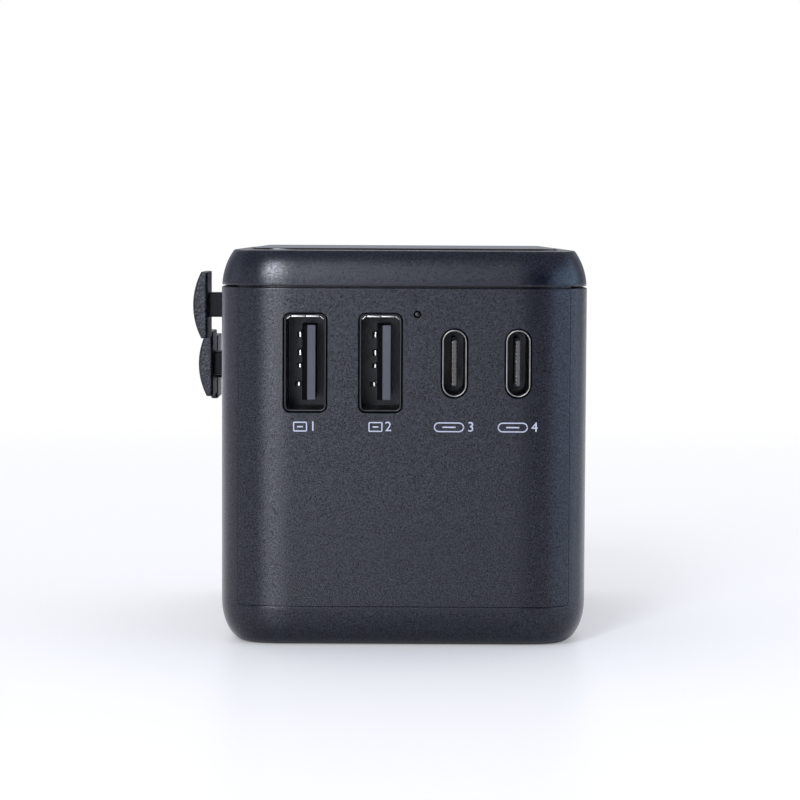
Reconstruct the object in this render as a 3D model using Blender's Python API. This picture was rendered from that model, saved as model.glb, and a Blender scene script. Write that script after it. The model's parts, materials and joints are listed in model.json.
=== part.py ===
"""Universal travel adapter with a USB charger, as an assembly of separate solids.

All sizes below are in millimetres and become metres where a mesh is made. +Z is up. The USB face looks
along -Y, the slider knobs stand on the -X side, the universal socket is on top, and the plugs come out of
the bottom. The origin is the centre of the bottom face that the adapter stands on.
"""

import math

import bmesh
import bpy
from mathutils import Vector

MM = 0.001
GAP = 0.3  # clearance between neighbouring solids

# Casing
WIDTH, DEPTH, HEIGHT = 49.6, 68.0, 53.0
WALL = 1.8
CORNER_R = 8.0  # upright corners
BOTTOM_RUN, BOTTOM_RISE = 3.2, 5.6  # the edge between the sides and the bottom, a quarter of an ellipse
DRAFT = 0.06  # the sides lean in by this much at the bottom
SEAM_Z = 48.0  # top of the main housing
CAP_SIDE_R = 8.4  # the top cover's sides curve in along an arc
CAP_EDGE_R = 0.4
CORNER_STEPS = 6
HALF_X, HALF_Y = WIDTH / 2, DEPTH / 2
FRONT = -HALF_Y
INNER_X, INNER_Y = HALF_X - WALL, HALF_Y - WALL

# Front panel: the USB face, with rounded lower corners
PANEL_HALF_X, PANEL_BOTTOM, PANEL_CORNER_R = 22.2, 5.4, 0.6
PANEL_DEPTH = 7.0  # how far the panel's region reaches back round the corners

# Socket plate on top
PLATE_INSET = 4.0  # from the casing's sides to the plate's edge
PLATE_TOP = HEIGHT + 0.3
PLATE_THICK = 2.1
LEDGE_WIDTH, LEDGE_DROP = 1.3, 1.6
LIP_DROP, LIP_THICK = 1.0, 1.0

# USB ports: centres on the front face
PORT_Z = 38.0
USB_A_X = {"usb_a_1": -13.2, "usb_a_2": -3.15}
USB_C_X = {"usb_c_2": 6.7, "usb_c_3": 15.2}
USB_A_SIZE, USB_A_WALL = (5.7, 13.1), 0.3
USB_A_TONGUE, USB_A_TONGUE_X = (1.84, 11.1), 0.47
USB_C_SIZE, USB_C_WALL = (3.26, 8.94), 0.3
USB_C_TONGUE = (0.7, 6.7)
PORT_MOUTH, PORT_BACK = 0.2, 11.9  # from the casing's face
TONGUE_RECESS, TONGUE_BASE = 1.2, 2.4
SIDE_PORT_Y = -16.0  # the USB-C port on the +X side
LED_X, LED_Z, LED_R = 1.75, 44.5, 0.55

# Plug pins, as the plug standards give them
UK_PIN, UK_HALF_SPACING, UK_EARTH_OFFSET, UK_EARTH_PIN = (6.35, 4.0), 11.11, 22.2, (4.0, 8.0)
UK_LENGTH, UK_EARTH_LENGTH = 17.5, 22.5
EU_PIN_R, EU_HALF_SPACING, EU_LENGTH, EU_SLEEVE_LENGTH = 2.0, 9.5, 19.0, 10.0
US_BLADE, US_HALF_SPACING, US_LENGTH = (1.5, 6.35), 6.35, 17.0
TIP_Z = 0.7  # the longest pins' tips at rest, just inside the bottom face

# Carriages: one for each plug, in its own slice of the casing
CARRIAGE_STOP = WALL + 0.5  # underside of a carriage when its plug is out
UK_Y, EU_Y, US_Y = -6.0, 6.0, 25.4
UK_STROKE = TIP_Z + UK_EARTH_LENGTH
EU_STROKE = TIP_Z + EU_LENGTH
US_STROKE = TIP_Z + US_LENGTH
SLICE_HALF = 3.0
TURRET_R, TURRET_FLANGE_R = 4.0, 4.7
TANG_LENGTH = 3.2  # every pin is held by a thinner tang in its carriage

# Slider knobs: (centre y, centre z at rest)
KNOB_PLACES = {"uk": (-6.0, 45.0), "eu": (6.0, 36.2), "us": (18.0, 35.2)}
KNOB_HEIGHT, KNOB_DEPTH, KNOB_END, KNOB_THICK = 9.4, 10.0, 0.9, 2.4
KNOB_GAP = 2.5  # between the knob and the casing's side
STEM = 3.5
ARM_X = (-22.5, -21.0)  # the carriage's upright arm, just inside the casing's side
LATCH_X = (-20.7, -19.9)
RIB_X = (-17.4, -16.4)

# Universal socket
SOCKET_Y = -2.0  # line through the live and neutral holes
SOCKET_EARTH_Y = SOCKET_Y + UK_EARTH_OFFSET
CARRIER_BOTTOM, CARRIER_TOP = 32.0, 48.6
CARRIER_HALF_X = 15.9
CAVITY_X, CAVITY_HALF_Y = (4.3, 14.8), 4.3
SHUTTER_Z = (49.0, 50.8)
SHUTTER_TRAVEL = 8.8
SPRING_SEAT_Y = (-25.0, -23.4)
RAMP_BOTTOM = 41.8  # the shutter's ramp reaches down into the earth well
RAIL_Z = (30.9, 31.5)
RAIL_X = (8.0, 11.0)

# Boards, fuse and screws
PORT_BOARD_Y = (-21.8, -20.2)
POWER_BOARD_Y = (-11.4, -9.8)
FUSE_X, FUSE_Y, FUSE_R = 15.5, -16.0, 2.6
FUSE_CAP_R, FUSE_CAP_TOP = 4.3, 4.0
FRONT_SCREWS = [(-16.0, -27.0), (16.0, -27.0)]
REAR_SCREWS = [(-18.6, 25.5), (18.6, 25.5)]
SCREW_HEAD_R, SCREW_R, SCREW_LENGTH, POST_R = 2.0, 1.1, 9.0, 2.4
BOSS_TOP = 3.7

COLOURS = {  # name: (red, green, blue), roughness, metallic
    "casing_plastic": ((0.045, 0.049, 0.062), 0.50, 0.0),
    "knob_plastic": ((0.045, 0.048, 0.058), 0.45, 0.0),
    "gloss_black": ((0.012, 0.012, 0.014), 0.12, 0.0),
    "inner_plastic": ((0.020, 0.020, 0.022), 0.55, 0.0),
    "shutter_plastic": ((0.10, 0.10, 0.11), 0.50, 0.0),
    "port_steel": ((0.55, 0.54, 0.52), 0.28, 1.0),
    "port_tongue": ((0.07, 0.07, 0.085), 0.50, 0.0),
    "plated_brass": ((0.70, 0.68, 0.63), 0.22, 1.0),
    "contact_brass": ((0.72, 0.50, 0.22), 0.30, 1.0),
    "spring_steel": ((0.50, 0.50, 0.52), 0.30, 1.0),
    "screw_steel": ((0.12, 0.12, 0.13), 0.35, 1.0),
    "circuit_board": ((0.02, 0.14, 0.06), 0.45, 0.0),
    "ferrite": ((0.05, 0.05, 0.055), 0.60, 0.0),
    "winding_tape": ((0.60, 0.42, 0.05), 0.40, 0.0),
    "capacitor_sleeve": ((0.03, 0.03, 0.10), 0.35, 0.0),
    "copper_wire": ((0.75, 0.32, 0.16), 0.30, 1.0),
    "fuse_ceramic": ((0.80, 0.78, 0.72), 0.40, 0.0),
    "light_pipe": ((0.85, 0.87, 0.90), 0.10, 0.0),
}


# ---------------------------------------------------------------- outlines: lists of (u, v)


def rounded_rectangle(half_u, half_v, radius, steps=CORNER_STEPS):
    """Anticlockwise from the corner at +u, +v."""
    points = []
    for quarter, (side_u, side_v) in enumerate([(1, 1), (-1, 1), (-1, -1), (1, -1)]):
        centre = Vector((side_u * (half_u - radius), side_v * (half_v - radius)))
        for step in range(steps + 1):
            angle = math.radians(90 * (quarter + step / steps))
            points.append(centre + radius * Vector((math.cos(angle), math.sin(angle))))
    return points


def shifted(outline, u, v):
    return [point + Vector((u, v)) for point in outline]


def pill(size):
    """A slot outline with round ends, size[0] wide and size[1] long."""
    return rounded_rectangle(size[0] / 2, size[1] / 2, size[0] / 2 - 0.001)


# ---------------------------------------------------------------- shapes: unnamed objects


def shape_from(bm):
    mesh = bpy.data.meshes.new("shape")
    bmesh.ops.recalc_face_normals(bm, faces=bm.faces)
    bm.to_mesh(mesh)
    bm.free()
    shape = bpy.data.objects.new("shape", mesh)
    parts.objects.link(shape)
    return shape


def block(x, y, z):
    """A box from three (low, high) pairs."""
    bm = bmesh.new()
    bmesh.ops.create_cube(bm, size=1.0)
    low, high = (Vector(corner) * MM for corner in zip(x, y, z))
    bmesh.ops.scale(bm, vec=high - low, verts=bm.verts)
    bmesh.ops.translate(bm, vec=(low + high) / 2, verts=bm.verts)
    return shape_from(bm)


def prism(outline, along, low, high):
    """An outline extruded along an axis. The outline's (u, v) are the other two axes, in X, Y, Z order."""
    order = {"X": (2, 0, 1), "Y": (0, 2, 1), "Z": (0, 1, 2)}[along]
    bm = bmesh.new()
    face = bm.faces.new([bm.verts.new([(u, v, low)[k] * MM for k in order]) for u, v in outline])
    sweep = bmesh.ops.extrude_face_region(bm, geom=[face])
    moved = [item for item in sweep["geom"] if isinstance(item, bmesh.types.BMVert)]
    travel = Vector([(0, 0, high - low)[k] * MM for k in order])
    bmesh.ops.translate(bm, vec=travel, verts=moved)
    return shape_from(bm)


def rod(radius, x, y, z, sides=24):
    """An upright cylinder at (x, y), from z[0] to z[1]."""
    bm = bmesh.new()
    length = (z[1] - z[0]) * MM
    bmesh.ops.create_cone(
        bm, cap_ends=True, segments=sides, radius1=radius * MM, radius2=radius * MM, depth=length
    )
    bmesh.ops.translate(bm, vec=Vector((x, y, (z[0] + z[1]) / 2)) * MM, verts=bm.verts)
    return shape_from(bm)


def loft(rings, closed=False):
    """Skins rings of equally many points. A closed loft joins its last ring to its first."""
    bm = bmesh.new()
    loops = [[bm.verts.new(Vector(point) * MM) for point in ring] for ring in rings]
    pairs = list(zip(loops, loops[1:]))
    if closed:
        pairs.append((loops[-1], loops[0]))
    else:
        bm.faces.new(loops[0])
        bm.faces.new(loops[-1])
    for one, other in pairs:
        for k in range(len(one)):
            bm.faces.new((one[k - 1], one[k], other[k], other[k - 1]))
    return shape_from(bm)


def casing_ring(inset, z):
    """The casing's outline at a height, moved in by inset."""
    outline = rounded_rectangle(HALF_X - inset, HALF_Y - inset, CORNER_R - inset)
    return [(u, v, z) for u, v in outline]


def combined(operation, base, others):
    for other in others:
        modifier = base.modifiers.new(operation, "BOOLEAN")
        modifier.operation = operation
        modifier.object = other
    bpy.context.view_layer.update()
    graph = bpy.context.evaluated_depsgraph_get()
    mesh = bpy.data.meshes.new_from_object(base.evaluated_get(graph))
    base.modifiers.clear()
    base.data = mesh
    for other in others:
        bpy.data.objects.remove(other)
    return base


def joined(base, *others):
    return combined("UNION", base, others)


def cut(base, *cutters):
    return combined("DIFFERENCE", base, cutters)


def bevelled(shape, width, segments=2):
    """Rounds every edge sharper than 30 degrees."""
    bm = bmesh.new()
    bm.from_mesh(shape.data)
    sharp = [edge for edge in bm.edges if edge.calc_face_angle(0) > math.radians(30)]
    bmesh.ops.bevel(bm, geom=sharp, offset=width * MM, segments=segments, profile=0.5, affect="EDGES")
    bm.to_mesh(shape.data)
    bm.free()
    return shape


def coil(axis, centre, radius, span, turns, wire):
    """A compression spring as a wire of that diameter, along X or Y through centre, over the span."""
    points_a_turn = 10
    count = turns * points_a_turn
    curve = bpy.data.curves.new("coil", "CURVE")
    curve.dimensions = "3D"
    curve.bevel_depth = wire / 2 * MM
    curve.bevel_resolution = 2
    curve.use_fill_caps = True
    spline = curve.splines.new("POLY")
    spline.points.add(count)
    low, high = span[0] + wire / 2, span[1] - wire / 2
    for k, point in enumerate(spline.points):
        angle = 2 * math.pi * k / points_a_turn
        along = low + (high - low) * k / count
        across = radius * math.cos(angle)
        up = radius * math.sin(angle)
        place = (along, centre[1] + across, centre[2] + up)
        if axis == "Y":
            place = (centre[0] + across, along, centre[2] + up)
        point.co = (*(Vector(place) * MM), 1)
    shape = bpy.data.objects.new("shape", curve)
    parts.objects.link(shape)
    return shape


# ---------------------------------------------------------------- naming, materials and bodies


def material_named(name):
    found = bpy.data.materials.get(name)
    if found:
        return found
    colour, roughness, metallic = COLOURS[name]
    made = bpy.data.materials.new(name)
    made.use_nodes = True
    shader = made.node_tree.nodes["Principled BSDF"]
    shader.inputs["Base Color"].default_value = (*colour, 1)
    shader.inputs["Roughness"].default_value = roughness
    shader.inputs["Metallic"].default_value = metallic
    made.diffuse_color = (*colour, 1)
    return made


def body(name, origin=(0, 0, 0), parent=None):
    """An empty on a joint's axis, which carries the pieces that move together."""
    empty = bpy.data.objects.new(name, None)
    empty.empty_display_size = 5 * MM
    empty["world"] = Vector(origin) * MM
    parts.objects.link(empty)
    empty.parent = parent
    empty.location = empty["world"]
    if parent:
        empty.location = Vector(empty["world"]) - Vector(parent["world"])
    return empty


def part(name, material, shape, carrier):
    """Names a shape, gives it a material, and hangs it on its body with its origin on the body's axis."""
    shape.name = name
    shape.data.name = name
    shape.data.materials.clear()
    shape.data.materials.append(material_named(material))
    origin = Vector(carrier["world"])
    if shape.type == "MESH":
        shape.data.transform(shape.matrix_basis)
        shape.data.shade_smooth()
        shape.data.set_sharp_from_angle(angle=math.radians(30))
        for vertex in shape.data.vertices:
            vertex.co -= origin
    else:
        for point in shape.data.splines[0].points:
            point.co = (*(Vector(point.co[:3]) - origin), 1)
    shape.parent = carrier
    return shape


# ---------------------------------------------------------------- casing


def lean(z):
    """How far the moulded side has leaned in at a height."""
    return DRAFT * (1 - z / SEAM_Z)


def tub():
    """The casing below the seam: an open box with round corners and a round bottom edge, as one wall."""
    steps = 5
    arc = [math.radians(90 * k / steps) for k in range(steps + 1)]
    outer = [(BOTTOM_RUN * (1 - math.sin(a)), BOTTOM_RISE * (1 - math.cos(a))) for a in arc]
    run, rise = BOTTOM_RUN - WALL, BOTTOM_RISE - WALL
    inner = [(BOTTOM_RUN - run * math.sin(a), BOTTOM_RISE - rise * math.cos(a)) for a in arc]
    outline = [*outer, (0, SEAM_Z), (WALL, SEAM_Z), *reversed(inner)]
    return loft([casing_ring(inset + lean(z), z) for inset, z in outline])


def panel_region(shrink):
    """The stretch of the casing that the front panel fills, moved in by shrink, open at the top."""
    half_x, bottom = PANEL_HALF_X - shrink, PANEL_BOTTOM + shrink
    top = SEAM_Z + 4.0
    outline = rounded_rectangle(half_x, (top - bottom) / 2, PANEL_CORNER_R)
    outline = shifted(outline, 0, (top + bottom) / 2)
    return prism(outline, "Y", FRONT - 2.0, FRONT + PANEL_DEPTH)


def pin_holes():
    """Cutters for the holes that the plugs pass in the bottom."""
    z = (-1.0, WALL + 2.0)
    uk_u, uk_v = UK_PIN[0] / 2 + GAP, UK_PIN[1] / 2 + GAP
    earth_u, earth_v = UK_EARTH_PIN[0] / 2 + GAP, UK_EARTH_PIN[1] / 2 + GAP
    earth_y = UK_Y + UK_EARTH_OFFSET
    holes = [block((-earth_u, earth_u), (earth_y - earth_v, earth_y + earth_v), z)]
    for side in (-1, 1):
        uk_x = side * UK_HALF_SPACING
        holes.append(block((uk_x - uk_u, uk_x + uk_u), (UK_Y - uk_v, UK_Y + uk_v), z))
        holes.append(rod(EU_PIN_R + GAP, side * EU_HALF_SPACING, EU_Y, z))
        holes.append(rod(TURRET_R + GAP, side * US_HALF_SPACING, US_Y, z))
    return holes


def slider_slots():
    """Cutters for the slots that the knobs' stems run in."""
    half = STEM / 2 + GAP
    strokes = {"uk": UK_STROKE, "eu": EU_STROKE, "us": US_STROKE}
    slots = []
    for plug, (y, z) in KNOB_PLACES.items():
        span = (z - strokes[plug] - half, z + half)
        slots.append(block((-HALF_X - 1, -INNER_X + 1), (y - half, y + half), span))
    return slots


def screw_holes():
    holes = []
    for x, y in FRONT_SCREWS + REAR_SCREWS:
        holes.append(rod(SCREW_R + GAP, x, y, (-1.0, BOSS_TOP + 1)))
        holes.append(rod(SCREW_HEAD_R + GAP, x, y, (-1.0, 1.9)))
    return holes


def make_main_housing():
    shell = cut(tub(), panel_region(0))
    bosses = [rod(POST_R, x, y, (1.2, BOSS_TOP)) for x, y in FRONT_SCREWS + REAR_SCREWS]
    shell = joined(shell, *bosses)
    size = [side + 2 * GAP for side in USB_C_SIZE]
    side_port = prism(shifted(pill(size), SIDE_PORT_Y, PORT_Z), "X", INNER_X - 1, HALF_X + 1)
    fuse_hole = rod(FUSE_CAP_R + GAP, FUSE_X, FUSE_Y, (-1.0, WALL + 2))
    cutters = [*slider_slots(), *pin_holes(), *screw_holes(), side_port, fuse_hole]
    part("main_housing", "casing_plastic", cut(shell, *cutters), case)


def make_front_panel():
    panel = combined("INTERSECT", tub(), [panel_region(GAP)])
    boss_top, rib = 13.0, 1.2
    for x, y in FRONT_SCREWS:
        post = rod(POST_R, x, y, (BOSS_TOP + GAP, boss_top))
        web = block((x - rib / 2, x + rib / 2), (FRONT + WALL - 0.6, y), (PANEL_BOTTOM + 1.5, boss_top))
        panel = joined(panel, post, web)
    cutters = [rod(SCREW_R + GAP, x, y, (BOSS_TOP - 1, 11.0)) for x, y in FRONT_SCREWS]
    y = (FRONT - 1, FRONT + WALL + 1)
    for x in USB_A_X.values():
        half_u, half_v = (side / 2 + GAP for side in USB_A_SIZE)
        cutters.append(prism(shifted(rounded_rectangle(half_u, half_v, 0.8, 2), x, PORT_Z), "Y", *y))
    for x in USB_C_X.values():
        size = [side + 2 * GAP for side in USB_C_SIZE]
        cutters.append(prism(shifted(pill(size), x, PORT_Z), "Y", *y))
    cutters.append(prism(shifted(rounded_rectangle(LED_R, LED_R, LED_R - 0.001, 3), LED_X, LED_Z), "Y", *y))
    part("front_panel", "casing_plastic", cut(panel, *cutters), case)


def make_top_cover():
    """A frame swept round the casing's outline: curved side, flat top, ledge for the plate, locating lip."""
    start = SEAM_Z + GAP
    arc_top = HEIGHT - CAP_EDGE_R
    steps = 4

    def side_inset(z):
        return CAP_SIDE_R - math.sqrt(CAP_SIDE_R**2 - (z - SEAM_Z) ** 2)

    levels = [start + (arc_top - start) * k / steps for k in range(steps + 1)]
    opening = PLATE_INSET - GAP
    ledge_z = PLATE_TOP - PLATE_THICK - GAP
    outline = [(side_inset(z), z) for z in levels]
    outline += [
        (side_inset(arc_top) + CAP_EDGE_R, HEIGHT),
        (opening, HEIGHT),
        (opening, ledge_z),
        (opening + LEDGE_WIDTH, ledge_z),
        (opening + LEDGE_WIDTH, ledge_z - LEDGE_DROP),
        (WALL + GAP + LIP_THICK, ledge_z - LEDGE_DROP),
        (WALL + GAP + LIP_THICK, SEAM_Z - LIP_DROP),
        (WALL + GAP, SEAM_Z - LIP_DROP),
        (WALL + GAP, start),
    ]
    frame = loft([casing_ring(inset, z) for inset, z in outline], closed=True)
    post_top = ledge_z - LEDGE_DROP / 2
    posts = [rod(POST_R, x, y, (BOSS_TOP + GAP, post_top)) for x, y in REAR_SCREWS]
    frame = joined(frame, *posts)
    pilots = [rod(SCREW_R + GAP, x, y, (BOSS_TOP - 1, 12.0)) for x, y in REAR_SCREWS]
    knob_y = KNOB_PLACES["uk"][0]
    arm_room = SLICE_HALF + 1.3
    notch_y = (knob_y - arm_room, knob_y + arm_room)
    notch = block((-HALF_X + WALL, -18.5), notch_y, (SEAM_Z - 2, ledge_z - 0.9))
    part("top_cover", "casing_plastic", cut(frame, notch, *pilots), case)


# ---------------------------------------------------------------- universal socket


def socket_hole_cutters(z):
    """The plug holes: British slots, European round holes, American slots and Australian slanted slots."""
    cutters = []
    uk_u, uk_v = 3.5, 2.3
    earth_u, earth_v = 2.4, 4.5
    cutters.append(
        block((-earth_u, earth_u), (SOCKET_EARTH_Y - earth_v, SOCKET_EARTH_Y + earth_v), z)
    )
    for side in (-1, 1):
        uk_x = side * UK_HALF_SPACING
        cutters.append(block((uk_x - uk_u, uk_x + uk_u), (SOCKET_Y - uk_v, SOCKET_Y + uk_v), z))
        cutters.append(rod(2.5, side * EU_HALF_SPACING, SOCKET_Y, z))
        slot = rounded_rectangle(1.0, 3.6, 0.3, 1)
        for lean_angle in (0, 30):
            turn = math.radians(side * lean_angle)
            turned = [
                Vector((u * math.cos(turn) - v * math.sin(turn), u * math.sin(turn) + v * math.cos(turn)))
                for u, v in slot
            ]
            cutters.append(prism(shifted(turned, side * US_HALF_SPACING, SOCKET_Y), "Z", *z))
    return cutters


def make_socket_plate():
    z = (PLATE_TOP - PLATE_THICK, PLATE_TOP)
    radius = CORNER_R - PLATE_INSET
    outline = rounded_rectangle(HALF_X - PLATE_INSET, HALF_Y - PLATE_INSET, radius)
    plate = cut(prism(outline, "Z", *z), *socket_hole_cutters((z[0] - 1, z[1] + 1)))
    seat = block((-1.6, 1.6), SPRING_SEAT_Y, (SHUTTER_Z[0] + 0.2, z[0] + 0.5))
    part("socket_plate", "gloss_black", joined(plate, seat), case)


def make_socket_carrier():
    """The block under the plate that holds the live and neutral contacts, with a well for the earth pin."""
    y = (SOCKET_Y - CAVITY_HALF_Y - 1.3, SOCKET_EARTH_Y + 5.9)
    carrier = block((-CARRIER_HALF_X, CARRIER_HALF_X), y, (CARRIER_BOTTOM, CARRIER_TOP))
    floor = CARRIER_BOTTOM + 1.2
    well_y = (SOCKET_EARTH_Y - 4.6, SOCKET_EARTH_Y + 4.6)
    ramp_y = (well_y[0] - SHUTTER_TRAVEL - 1.6, well_y[1] - 0.1)
    cutters = [
        block((-2.5, 2.5), well_y, (CARRIER_BOTTOM - 1, CARRIER_TOP + 1)),
        block((-2.4, 2.4), ramp_y, (RAMP_BOTTOM - GAP, CARRIER_TOP + 1)),
    ]
    for side in (-1, 1):
        x = sorted(side * edge for edge in CAVITY_X)
        rail = sorted(side * edge for edge in (RAIL_X[0] - GAP, RAIL_X[1] + GAP))
        wall_y = (SOCKET_Y - CAVITY_HALF_Y, SOCKET_Y + CAVITY_HALF_Y)
        cutters.append(block(x, wall_y, (floor, CARRIER_TOP + 1)))
        cutters.append(block(rail, (-0.8, 0.8), (CARRIER_BOTTOM - 1, floor + 1)))
        spare_x = sorted(side * edge for edge in (4.3, CARRIER_HALF_X - 1.3))
        cutters.append(block(spare_x, (SOCKET_Y + CAVITY_HALF_Y + 1.3, y[1] - 1.3), (floor, CARRIER_TOP + 1)))
    part("socket_carrier", "inner_plastic", cut(carrier, *cutters), case)


def make_contacts():
    """A clip with two sprung leaves for each pole, and the rail that feeds the plug pins from it."""
    leaf_top, leaf_half, thick = 43.5, 2.3, 0.5
    base = (CARRIER_BOTTOM + 1.5, CARRIER_BOTTOM + 2.1)
    rear = INNER_Y - 1.2
    for side, name in ((1, "live_contact"), (-1, "neutral_contact")):
        x = sorted(side * edge for edge in (CAVITY_X[0] + GAP, CAVITY_X[1] - GAP))
        rail_x = sorted(side * edge for edge in RAIL_X)
        clip = block(x, (SOCKET_Y - leaf_half, SOCKET_Y + leaf_half), base)
        leaves = [
            block(
                x,
                sorted((SOCKET_Y + s * leaf_half, SOCKET_Y + s * (leaf_half - thick))),
                (base[0], leaf_top),
            )
            for s in (-1, 1)
        ]
        drop = block(rail_x, (-0.4, 0.4), (5.0, base[1]))
        along = block(rail_x, (-0.4, rear + 0.6), RAIL_Z)
        down = block(rail_x, (rear, rear + 0.6), (7.0, RAIL_Z[1]))
        link = block(rail_x, (SOCKET_Y, 0.4), base)
        part(name, "contact_brass", joined(clip, *leaves, link, drop, along, down), case)


def make_shutter():
    """A plate that covers the live and neutral holes. An earth pin pushes its ramp; a spring returns it."""
    low, high = SHUTTER_Z
    plate_y = (SOCKET_Y - CAVITY_HALF_Y - 0.1, SOCKET_Y + CAVITY_HALF_Y + 0.1)
    plate = block((-15.0, 15.0), plate_y, SHUTTER_Z)
    ramp_top = SOCKET_EARTH_Y - 5.0
    ramp_foot = SOCKET_EARTH_Y + 4.0
    side_view = [
        (plate_y[1] - 1.0, low),
        (ramp_top - 1.2, low),
        (ramp_foot - 2.2, RAMP_BOTTOM),
        (ramp_foot, RAMP_BOTTOM),
        (ramp_top, high - 0.01),
        (plate_y[1] - 1.0, high - 0.01),
    ]
    ramp = prism(side_view, "X", -1.9, 1.9)
    part("safety_shutter", "shutter_plastic", joined(plate, ramp), shutter)
    spring = coil("Y", (0, 0, (low + high) / 2), 0.75, (SPRING_SEAT_Y[1] + GAP, plate_y[0] - GAP), 7, 0.3)
    part("shutter_spring", "spring_steel", spring, case)


# ---------------------------------------------------------------- plugs and their sliders


def slider_frame(plug, bottom):
    """The knob side of a carriage: an upright arm that the stem passes, and a rib for the spring."""
    y, z = KNOB_PLACES[plug]
    top = z + 2.8
    half = SLICE_HALF + 0.3
    arm = block(ARM_X, (y - half, y + half), (bottom + 3.0, top))
    hole_half = STEM / 2 + GAP
    hole = block((ARM_X[0] - 1, ARM_X[1] + 1), (y - hole_half, y + hole_half), (z - hole_half, z + hole_half))
    rib = block(RIB_X, (y - SLICE_HALF, y + SLICE_HALF), (bottom + 1.0, top))
    return cut(arm, hole), rib


def make_knob(plug, carriage):
    """A domed knob on a square stem, the latch that holds it from inside, and its spring."""
    y, z = KNOB_PLACES[plug]
    button = body(f"{plug}_button", (-HALF_X, y, z), carriage)
    flat = -HALF_X - KNOB_GAP
    half = KNOB_HEIGHT / 2
    rise = KNOB_THICK - KNOB_END
    dome_r = (half**2 + rise**2) / (2 * rise)
    sweep = math.asin(half / dome_r)
    steps = 12
    outline = [Vector((flat, -half)), Vector((flat, half))]
    for k in range(steps + 1):
        angle = sweep * (1 - 2 * k / steps)
        dome = dome_r * math.cos(angle) - (dome_r - rise)
        outline.append(Vector((flat - KNOB_END - dome, dome_r * math.sin(angle))))
    cap = prism(shifted(outline, 0, z), "Y", y - KNOB_DEPTH / 2, y + KNOB_DEPTH / 2)
    cap = bevelled(cap, 0.35)
    stem_y = (y - STEM / 2, y + STEM / 2)
    stem = block((flat - 0.5, LATCH_X[0] - 0.2), stem_y, (z - STEM / 2, z + STEM / 2))
    peg_half = 1.0
    peg = block((flat, LATCH_X[1] - 0.1), (y - peg_half, y + peg_half), (z - peg_half, z + peg_half))
    part(f"{plug}_knob", "knob_plastic", joined(cap, stem, peg), button)
    latch_half = STEM / 2 + 0.9
    hole_half = peg_half + GAP
    latch = block(LATCH_X, (y - latch_half, y + latch_half), (z - latch_half, z + latch_half))
    hole_x = (LATCH_X[0] - 1, LATCH_X[1] + 1)
    hole = block(hole_x, (y - hole_half, y + hole_half), (z - hole_half, z + hole_half))
    part(f"{plug}_latch", "inner_plastic", cut(latch, hole), button)
    spring = coil("X", (0, y, z), 1.6, (LATCH_X[1] + GAP, RIB_X[0] - GAP), 2, 0.3)
    part(f"{plug}_latch_spring", "spring_steel", spring, carriage)


def rounded_pin(size, x, y, tip, shoulder, tang):
    """A rectangular pin with a tapered tip, and a thinner tang of that (x, y) size above its shoulder."""
    taper = min(0.7, min(size) / 4)
    levels = [
        (size[0] - 2 * taper, size[1] - 2 * taper, tip),
        (size[0], size[1], tip + 2 * taper),
        (size[0], size[1], shoulder),
        (tang[0], tang[1], shoulder),
        (tang[0], tang[1], shoulder + GAP + TANG_LENGTH),
    ]
    rings = []
    for wide, deep, z in levels:
        outline = rounded_rectangle(wide / 2, deep / 2, 0.25, 1)
        rings.append([(u, v, z) for u, v in shifted(outline, x, y)])
    return loft(rings)


def tang_pocket(tang, x, y, bottom):
    half_u, half_v = tang[0] / 2 + GAP, tang[1] / 2 + GAP
    return block((x - half_u, x + half_u), (y - half_v, y + half_v), (bottom - 1, bottom + TANG_LENGTH + GAP))


def make_uk_plug():
    carriage = body("uk_plug", (-HALF_X, *KNOB_PLACES["uk"]), case)
    bottom = CARRIAGE_STOP + UK_STROKE
    z = (bottom, bottom + 5.0)
    earth_y = UK_Y + UK_EARTH_OFFSET
    arm, rib = slider_frame("uk", bottom)
    frame = joined(
        block((ARM_X[1] - 0.1, 19.5), (UK_Y - SLICE_HALF, UK_Y + SLICE_HALF), z),
        block((14.5, 19.5), (UK_Y - 1, earth_y + 3.4), (z[0] + 0.01, z[1] - 0.01)),
        block((-3.2, 19.4), (earth_y - 3.5, earth_y + 3.5), (z[0] + 0.02, z[1] - 0.02)),
        arm,
        rib,
    )
    tang, earth_tang = (4.4, 2.4), (2.4, 4.4)
    pockets = [tang_pocket(earth_tang, 0, earth_y, bottom)]
    earth_pin = rounded_pin(UK_EARTH_PIN, 0, earth_y, TIP_Z, bottom - GAP, earth_tang)
    part("uk_earth_pin", "inner_plastic", earth_pin, carriage)
    tip = TIP_Z + UK_EARTH_LENGTH - UK_LENGTH
    for side, pole in ((1, "live"), (-1, "neutral")):
        x = side * UK_HALF_SPACING
        pockets.append(tang_pocket(tang, x, UK_Y, bottom))
        pin = rounded_pin(UK_PIN, x, UK_Y, tip, bottom - GAP, tang)
        part(f"uk_{pole}_pin", "plated_brass", pin, carriage)
    part("uk_carriage", "inner_plastic", cut(frame, *pockets), carriage)
    make_knob("uk", carriage)


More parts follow.
